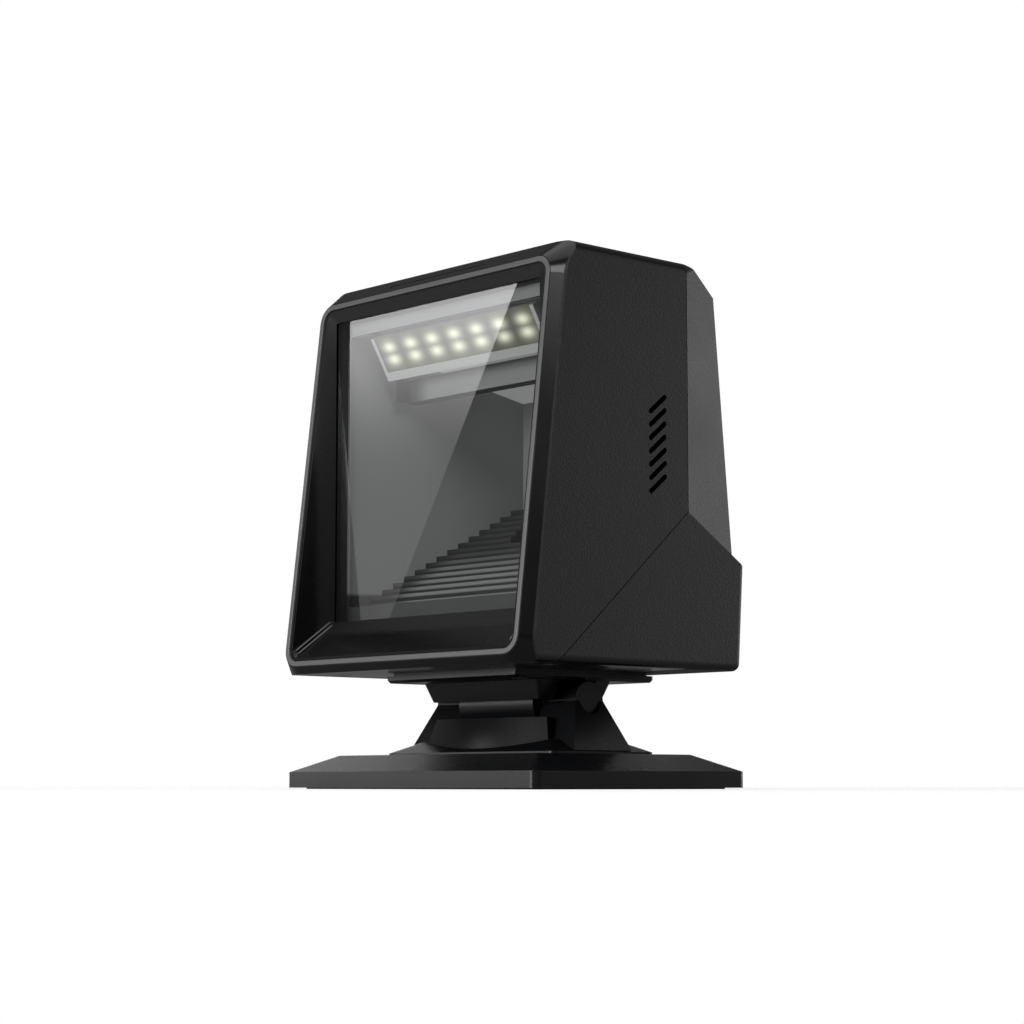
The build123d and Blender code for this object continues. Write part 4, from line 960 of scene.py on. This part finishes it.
@dataclass
class FinishBook:
    """Makes each finish once, and dresses every CAD node in the one that its slot names.

    Its fields are the loaded frame, how many pitches long a row of lamps is, how far apart the two rows are as
    a share of the cover's height, the cover's lean in degrees, and the materials made so far.
    """

    frame: dict
    lamps_across: float = 6.3
    row_share: float = 0.39
    lamp_lean: float = 30.3
    made: dict[Finish, bpy.types.Material] = field(default_factory=dict)

    def recipes(self) -> dict[Finish, Recipe]:
        """The finish of each slot, with colours as linear light."""
        first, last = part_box("leds")
        low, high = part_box("led_diffuser")
        cover = FrostedLamp(
            pitch=(last.x - first.x) / self.lamps_across,
            rows=(high.z - low.z) * self.row_share,
            tilt=math.radians(self.lamp_lean),
            middle=(low + high) / 2,
        )
        return {
            Finish.HOUSING: HousingPlastic((0.0112, 0.0112, 0.0117), 0.52, mirror=0.42),
            Finish.STAND: SparkPlastic((0.0065, 0.007, 0.008), 0.27, 0.0005, 0.000008, 0.3, 0.05, 0.45),
            Finish.TRIM: SatinPaint((0.15, 0.15, 0.15)),
            Finish.BEZEL: GlossPlastic((0.0045, 0.0045, 0.005), 0.17, 0.008),
            Finish.PANE: ClearPane(),
            Finish.TAPE: Rubber((0.012, 0.012, 0.012), 0.7, 0.0003),
            Finish.TUNNEL: TunnelPlastic((0.33, 0.333, 0.333)),
            Finish.BAFFLE: StairPlastic(),
            Finish.FROST: cover,
            Finish.LAMP_BOARD: Board((0.55, 0.56, 0.55), (0.45, 0.45, 0.43), (0.6, 0.58, 0.5)),
            Finish.LAMP: LampChip(),
            Finish.LENS: LensGlass(),
            Finish.SENSOR: Metal((0.05, 0.045, 0.06), 0.15, (1, 1, 1), 0.0002),
            Finish.BOARD: Board((0.012, 0.09, 0.035), (0.03, 0.17, 0.06), (0.75, 0.62, 0.30)),
            Finish.FLEX: Board((0.42, 0.19, 0.03), (0.62, 0.33, 0.08), (0.8, 0.6, 0.3), 0.001),
            Finish.SHIELD: Metal((0.62, 0.62, 0.60), 0.32, (8, 1, 1), 0.0004),
            Finish.SOCKET: SparkPlastic((0.018, 0.018, 0.018), 0.45, 0.0004, 0.00001, 0.3),
            Finish.CONTACT: Metal((0.85, 0.62, 0.25), 0.22, (1, 6, 1), 0.0002, 0.15),
            Finish.STEEL: Metal((0.56, 0.56, 0.55), 0.28, (1, 1, 5), 0.0003),
            Finish.NYLON: Rubber((0.62, 0.60, 0.55), 0.5, 0.0006),
            Finish.PAD: Rubber((0.022, 0.022, 0.022)),
            Finish.SMOKE: SmokedPipe(),
        }

    def dress(self) -> None:
        """Gives every CAD node its slot's finish."""
        recipes = self.recipes()
        self.made = {finish: recipe.material(finish.value) for finish, recipe in recipes.items()}
        for row in self.frame["record"]["subparts"]:
            materials = self.frame["nodes"][row["node"]].data.materials
            materials.clear()
            materials.append(self.made[Finish(row["material_slot"])])
            log.info("finish %s on %s", row["material_slot"], row["node"])

    def piece(self, made: bpy.types.Object, finish: Finish, body: str) -> bpy.types.Object:
        """Finishes a new piece.

        Args:
            made: the piece.
            finish: what it is dressed in, which also names its slot.
            body: the body that it rides on.

        Returns:
            The same piece.
        """
        made.data.materials.append(self.made[finish])
        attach(made, body)
        log.info("piece %s on %s, %d faces", made.name, body, len(made.data.polygons))
        return made


def swept(path: np.ndarray, radius: np.ndarray, sides: int = 12) -> np.ndarray:
    """A round bar along a path, closed at both ends.

    Ring points are the path point plus the radius times the cosine and sine of the angle on two axes that
    stand square to the path. The radius may shrink to nought at the ends, which closes them.

    Args:
        path: points of shape (n, 3) on a straight or gently bent line.
        radius: n radii.
        sides: points round the bar.

    Returns:
        A grid of shape (n, sides, 3).
    """
    ahead = np.gradient(path, axis=0)
    ahead /= np.linalg.norm(ahead, axis=1, keepdims=True)
    spare = np.where(np.abs(ahead[:, 2:]) < 0.9, [[0.0, 0.0, 1.0]], [[1.0, 0.0, 0.0]])
    across = np.cross(ahead, spare)
    across /= np.linalg.norm(across, axis=1, keepdims=True)
    over = np.cross(across, ahead)
    angle = np.linspace(0, 2 * math.pi, sides, endpoint=False)[None, :, None]
    ring = across[:, None] * np.cos(angle) + over[:, None] * np.sin(angle)
    return path[:, None] + ring * radius[:, None, None]


@dataclass
class WindowSurround:
    """The funnel around the pane: paired light-grey strips run down its lower mitres as painted highlights.

    Its fields are the finishes, a strip's radius, how far it stands off the mitre, the pane's half width and
    lower edge, how far in and how far back the ring's corner is, the part of the mitre's length that a strip
    covers, the rings of points along it, and the even power that keeps its ends blunt.
    """

    book: FinishBook
    strip_radius: float = 0.00034
    spacing: float = 0.0011
    half_window: float = 0.050
    window_low: float = 0.0545
    corner: float = 0.0018
    corner_back: float = 0.00054
    covered: Span = (0.04, 0.93)
    rings: int = 28
    blunt: int = 10

    def mitre_highlight_strip(self, name: str, side: int, offset: Vector) -> bpy.types.Object:
        """One light-grey strip beside a lower mitre, a painted highlight: a thin bar from the ring's corner to
        the pane's corner.

        The path is the straight line between the corners. The radius is the strip's own times the square root
        of one less an even power of the place along it, which runs from -1 to 1, so its ends close roundly.

        Args:
            name: the piece's name.
            side: -1 for the left corner and 1 for the right one.
            offset: how far the strip stands off the mitre's own line.

        Returns:
            The dressed piece.
        """
        low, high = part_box("front_bezel")
        outer = np.array([side * (high.x - self.corner), low.y + self.corner_back, low.z + self.corner])
        inner = np.array([side * self.half_window, high.y, self.window_low])
        run = np.linspace(*self.covered, self.rings)
        path = outer + (inner - outer) * run[:, None] + np.array(offset)
        place = np.linspace(-1, 1, self.rings)
        radius = self.strip_radius * np.sqrt(1 - place**self.blunt)
        made = patch(name, swept(path, radius), closed=True)
        # The trim grey makes each strip a painted highlight line along the mitre's fillet.
        return self.book.piece(made, Finish.TRIM, "head")

    def build(self) -> None:
        """Both painted-highlight strips at both lower corners, one on each wall that meets there."""
        for side, where in ((-1, "left"), (1, "right")):
            self.mitre_highlight_strip(f"mitre_highlight_strip_{where}_upright", side, Vector((0, 0, self.spacing)))
            self.mitre_highlight_strip(f"mitre_highlight_strip_{where}_level", side, Vector((-side * self.spacing, 0, 0)))


@dataclass(frozen=True)
class Softbox:
    """A rectangular lamp that only lights and mirrors.

    Its fields are its name, its middle, its width and height, its face's radiance, and the point it faces.
    """

    name: str
    place: Point
    size: Span
    glow: float
    aim: Point = (0, 0, 0.08)

    def build(self) -> None:
        """Adds the lamp. Its power is pi times the face's area and radiance."""
        data = bpy.data.lights.new(self.name, "AREA")
        data.shape = "RECTANGLE"
        data.size, data.size_y = self.size
        data.energy = self.glow * math.pi * self.size[0] * self.size[1]
        lamp = bpy.data.objects.new(self.name, data)
        bpy.context.scene.collection.objects.link(lamp)
        lamp.location = self.place
        lamp.rotation_mode = "QUATERNION"
        lamp.rotation_quaternion = (Vector(self.aim) - Vector(self.place)).to_track_quat("-Z", "Y")
        lamp.visible_camera = False


@dataclass(frozen=True)
class Card:
    """A glowing card at the front left that the pane mirrors, brightest at its top edge.

    Its fields are the way to it from the middle of the pane and how far off it is, where its lower and upper
    edges start and end along its own level axis, how high they stand above its middle, the heights between
    which it brightens, its glow at the bottom, what the top adds, and the power by which that rises.
    """

    toward: Point = (-0.7365, -0.6668, 0.1138)
    away: float = 0.55
    lower: Span = (0.0440, 0.0640)
    upper: Span = (-0.0315, 0.0640)
    edges: Span = (-0.080, 0.118)
    brightens: Span = (-0.02, 0.115)
    dim: float = 0.45
    glare: float = 3.3
    power: float = 1.7

    def build(self) -> None:
        """Joins the corners in the card's plane, which faces the pane, by straight lines both ways."""
        low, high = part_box("window_glass")
        toward = Vector(self.toward).normalized()
        centre = Vector((0, low.y, (low.z + high.z) / 2)) + toward * self.away
        level = Vector((0, 0, 1)).cross(-toward).normalized()
        upright = (-toward).cross(level)
        rows = zip((self.lower, self.upper), self.edges)
        ends = np.array([[centre + level * across + upright * up for across in row] for row, up in rows])
        u = np.linspace(0, 1, 12)[:, None, None]
        v = np.linspace(0, 1, 12)[None, :, None]
        grid = (ends[0, 0] * (1 - v) + ends[0, 1] * v) * (1 - u) + (ends[1, 0] * (1 - v) + ends[1, 1] * v) * u
        made = patch("reflector_card", grid)
        paint = Paint("card_glow")
        _, _, z = paint.along()
        rise = paint.step(z, centre.z + self.brightens[0], centre.z + self.brightens[1])
        strength = rise**self.power * self.glare + self.dim
        glow = paint.node("ShaderNodeEmission", inputs={"Color": (1, 1, 1, 1), "Strength": strength})
        made.data.materials.append(paint.done(glow.outputs[0]))
        made.visible_camera = made.visible_diffuse = made.visible_shadow = False


@dataclass(frozen=True)
class Floor:
    """A pale round floor whose rim fades out.

    Its fields are its radius, the shares of it between which it fades, its glow to the camera, and its colours
    as the camera sees them and as they bounce light up, each as the two ends of a mottle.
    """

    radius: float = 0.95
    fade: Span = (0.42, 0.98)
    glow: float = 0.42
    seen: tuple[Colour, Colour] = ((0.90, 0.90, 0.90), (0.93, 0.93, 0.93))
    bounced: tuple[Colour, Colour] = ((0.28, 0.28, 0.28), (0.30, 0.30, 0.30))

    def build(self) -> None:
        """Points at an angle and a radius about the origin, closer together near the middle."""
        radius = np.linspace(0, 1, 24)[:, None] ** 1.5 * self.radius
        angle = np.linspace(0, 2 * math.pi, 96, endpoint=False)[None, :]
        grid = np.stack([radius * np.cos(angle), radius * np.sin(angle), radius * angle * 0], -1)
        made = patch("floor", grid, closed=True)
        paint = Paint("floor_pale")
        x, y, _ = paint.along()
        far = paint.step((x * x + y * y) ** 0.5, self.radius * self.fade[0], self.radius * self.fade[1])
        mottle = paint.cloud(0.05, 3.0)
        dull = mottle * 0.1 + 0.85
        seen = paint.surface(
            base_color=paint.blend(mottle, *self.seen),
            roughness=dull,
            emission_color=(1.0, 1.0, 1.0),
            emission_strength=self.glow,
        )
        bounced = paint.surface(base_color=paint.blend(mottle, *self.bounced), roughness=dull)
        direct = paint.node("ShaderNodeLightPath").outputs["Is Camera Ray"]
        ground = paint.node("ShaderNodeMixShader", inputs={0: direct, 1: bounced, 2: seen}).outputs[0]
        clear = paint.node("ShaderNodeBsdfTransparent").outputs[0]
        mixed = paint.node("ShaderNodeMixShader", inputs={0: far, 1: ground, 2: clear})
        made.data.materials.append(paint.done(mixed.outputs[0]))


@dataclass(frozen=True)
class Room:
    """A white backdrop that the camera sees, and a dim grey room that gloss mirrors."""

    backdrop: Colour = (1, 1, 1)
    grey: Colour = (0.11, 0.11, 0.113)

    def build(self) -> None:
        """The backdrop for rays from the camera and the grey for all others."""
        world = bpy.data.worlds.new("room")
        world.use_nodes = True
        bpy.context.scene.world = world
        nodes, links = world.node_tree.nodes, world.node_tree.links
        nodes.clear()
        seen, room = nodes.new("ShaderNodeBackground"), nodes.new("ShaderNodeBackground")
        seen.inputs["Color"].default_value = (*self.backdrop, 1)
        room.inputs["Color"].default_value = (*self.grey, 1)
        mixed, path = nodes.new("ShaderNodeMixShader"), nodes.new("ShaderNodeLightPath")
        output = nodes.new("ShaderNodeOutputWorld")
        links.new(path.outputs["Is Camera Ray"], mixed.inputs[0])
        links.new(room.outputs[0], mixed.inputs[1])
        links.new(seen.outputs[0], mixed.inputs[2])
        links.new(mixed.outputs[0], output.inputs["Surface"])


@dataclass(frozen=True)
class Camera:
    """A long lens just above the floor, turned to the object's front right and tipped up a little.

    The angles are in degrees, and the lens is in millimetres of focal length, as is the sensor's width.
    """

    azimuth: float = 47.84
    pitch: float = 6.53
    distance: float = 0.76890
    height: float = 0.00153
    lens: float = 83.6
    sensor: float = 36.0

    def build(self) -> None:
        """Stands the camera on its circle about the upright axis, with its gaze toward that axis and up."""
        turn, tip = math.radians(self.azimuth), math.radians(self.pitch)
        data = bpy.data.cameras.new("camera")
        data.lens, data.sensor_width = self.lens, self.sensor
        made = bpy.data.objects.new("camera", data)
        bpy.context.scene.collection.objects.link(made)
        made.location = (self.distance * math.sin(turn), -self.distance * math.cos(turn), self.height)
        gaze = Vector((-math.sin(turn) * math.cos(tip), math.cos(turn) * math.cos(tip), math.sin(tip)))
        made.rotation_mode = "QUATERNION"
        made.rotation_quaternion = gaze.to_track_quat("-Z", "Y")
        bpy.context.scene.camera = made


@dataclass(frozen=True)
class Stage:
    """Everything that is not the object: the floor, the lights, the room and the camera."""

    softboxes: tuple[Softbox, ...] = (
        Softbox("front_left", (-0.35, -1.32, 0.26), (0.6, 0.5), 8.5),
        Softbox("front_right", (1.15, -0.95, 1.15), (0.7, 0.7), 6.0),
        Softbox("top", (-0.3, -0.3, 1.5), (1.4, 1.2), 1.0),
        Softbox("rear", (0.36, 1.35, 0.34), (0.65, 0.75), 3.6),
        Softbox("low_left", (-1.0, -0.90, 0.05), (1.1, 0.13), 2.6, aim=(0, 0, 0.02)),
        Softbox("rear_left", (-0.98, 0.80, 0.34), (0.7, 0.4), 2.2),
    )

    def build(self) -> None:
        """Shows colours as they are, without a film curve, and sets up each piece of the stage."""
        bpy.context.scene.view_settings.view_transform = "Standard"
        Floor().build()
        for softbox in self.softboxes:
            softbox.build()
        Card().build()
        Room().build()
        Camera().build()


def main() -> None:
    """Loads the frame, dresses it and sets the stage."""
    logging.basicConfig(level=logging.INFO, format="%(name)s: %(message)s")
    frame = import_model()
    book = FinishBook(frame)
    book.dress()
    WindowSurround(book).build()
    Stage().build()


if __name__ == "__main__":
    main()
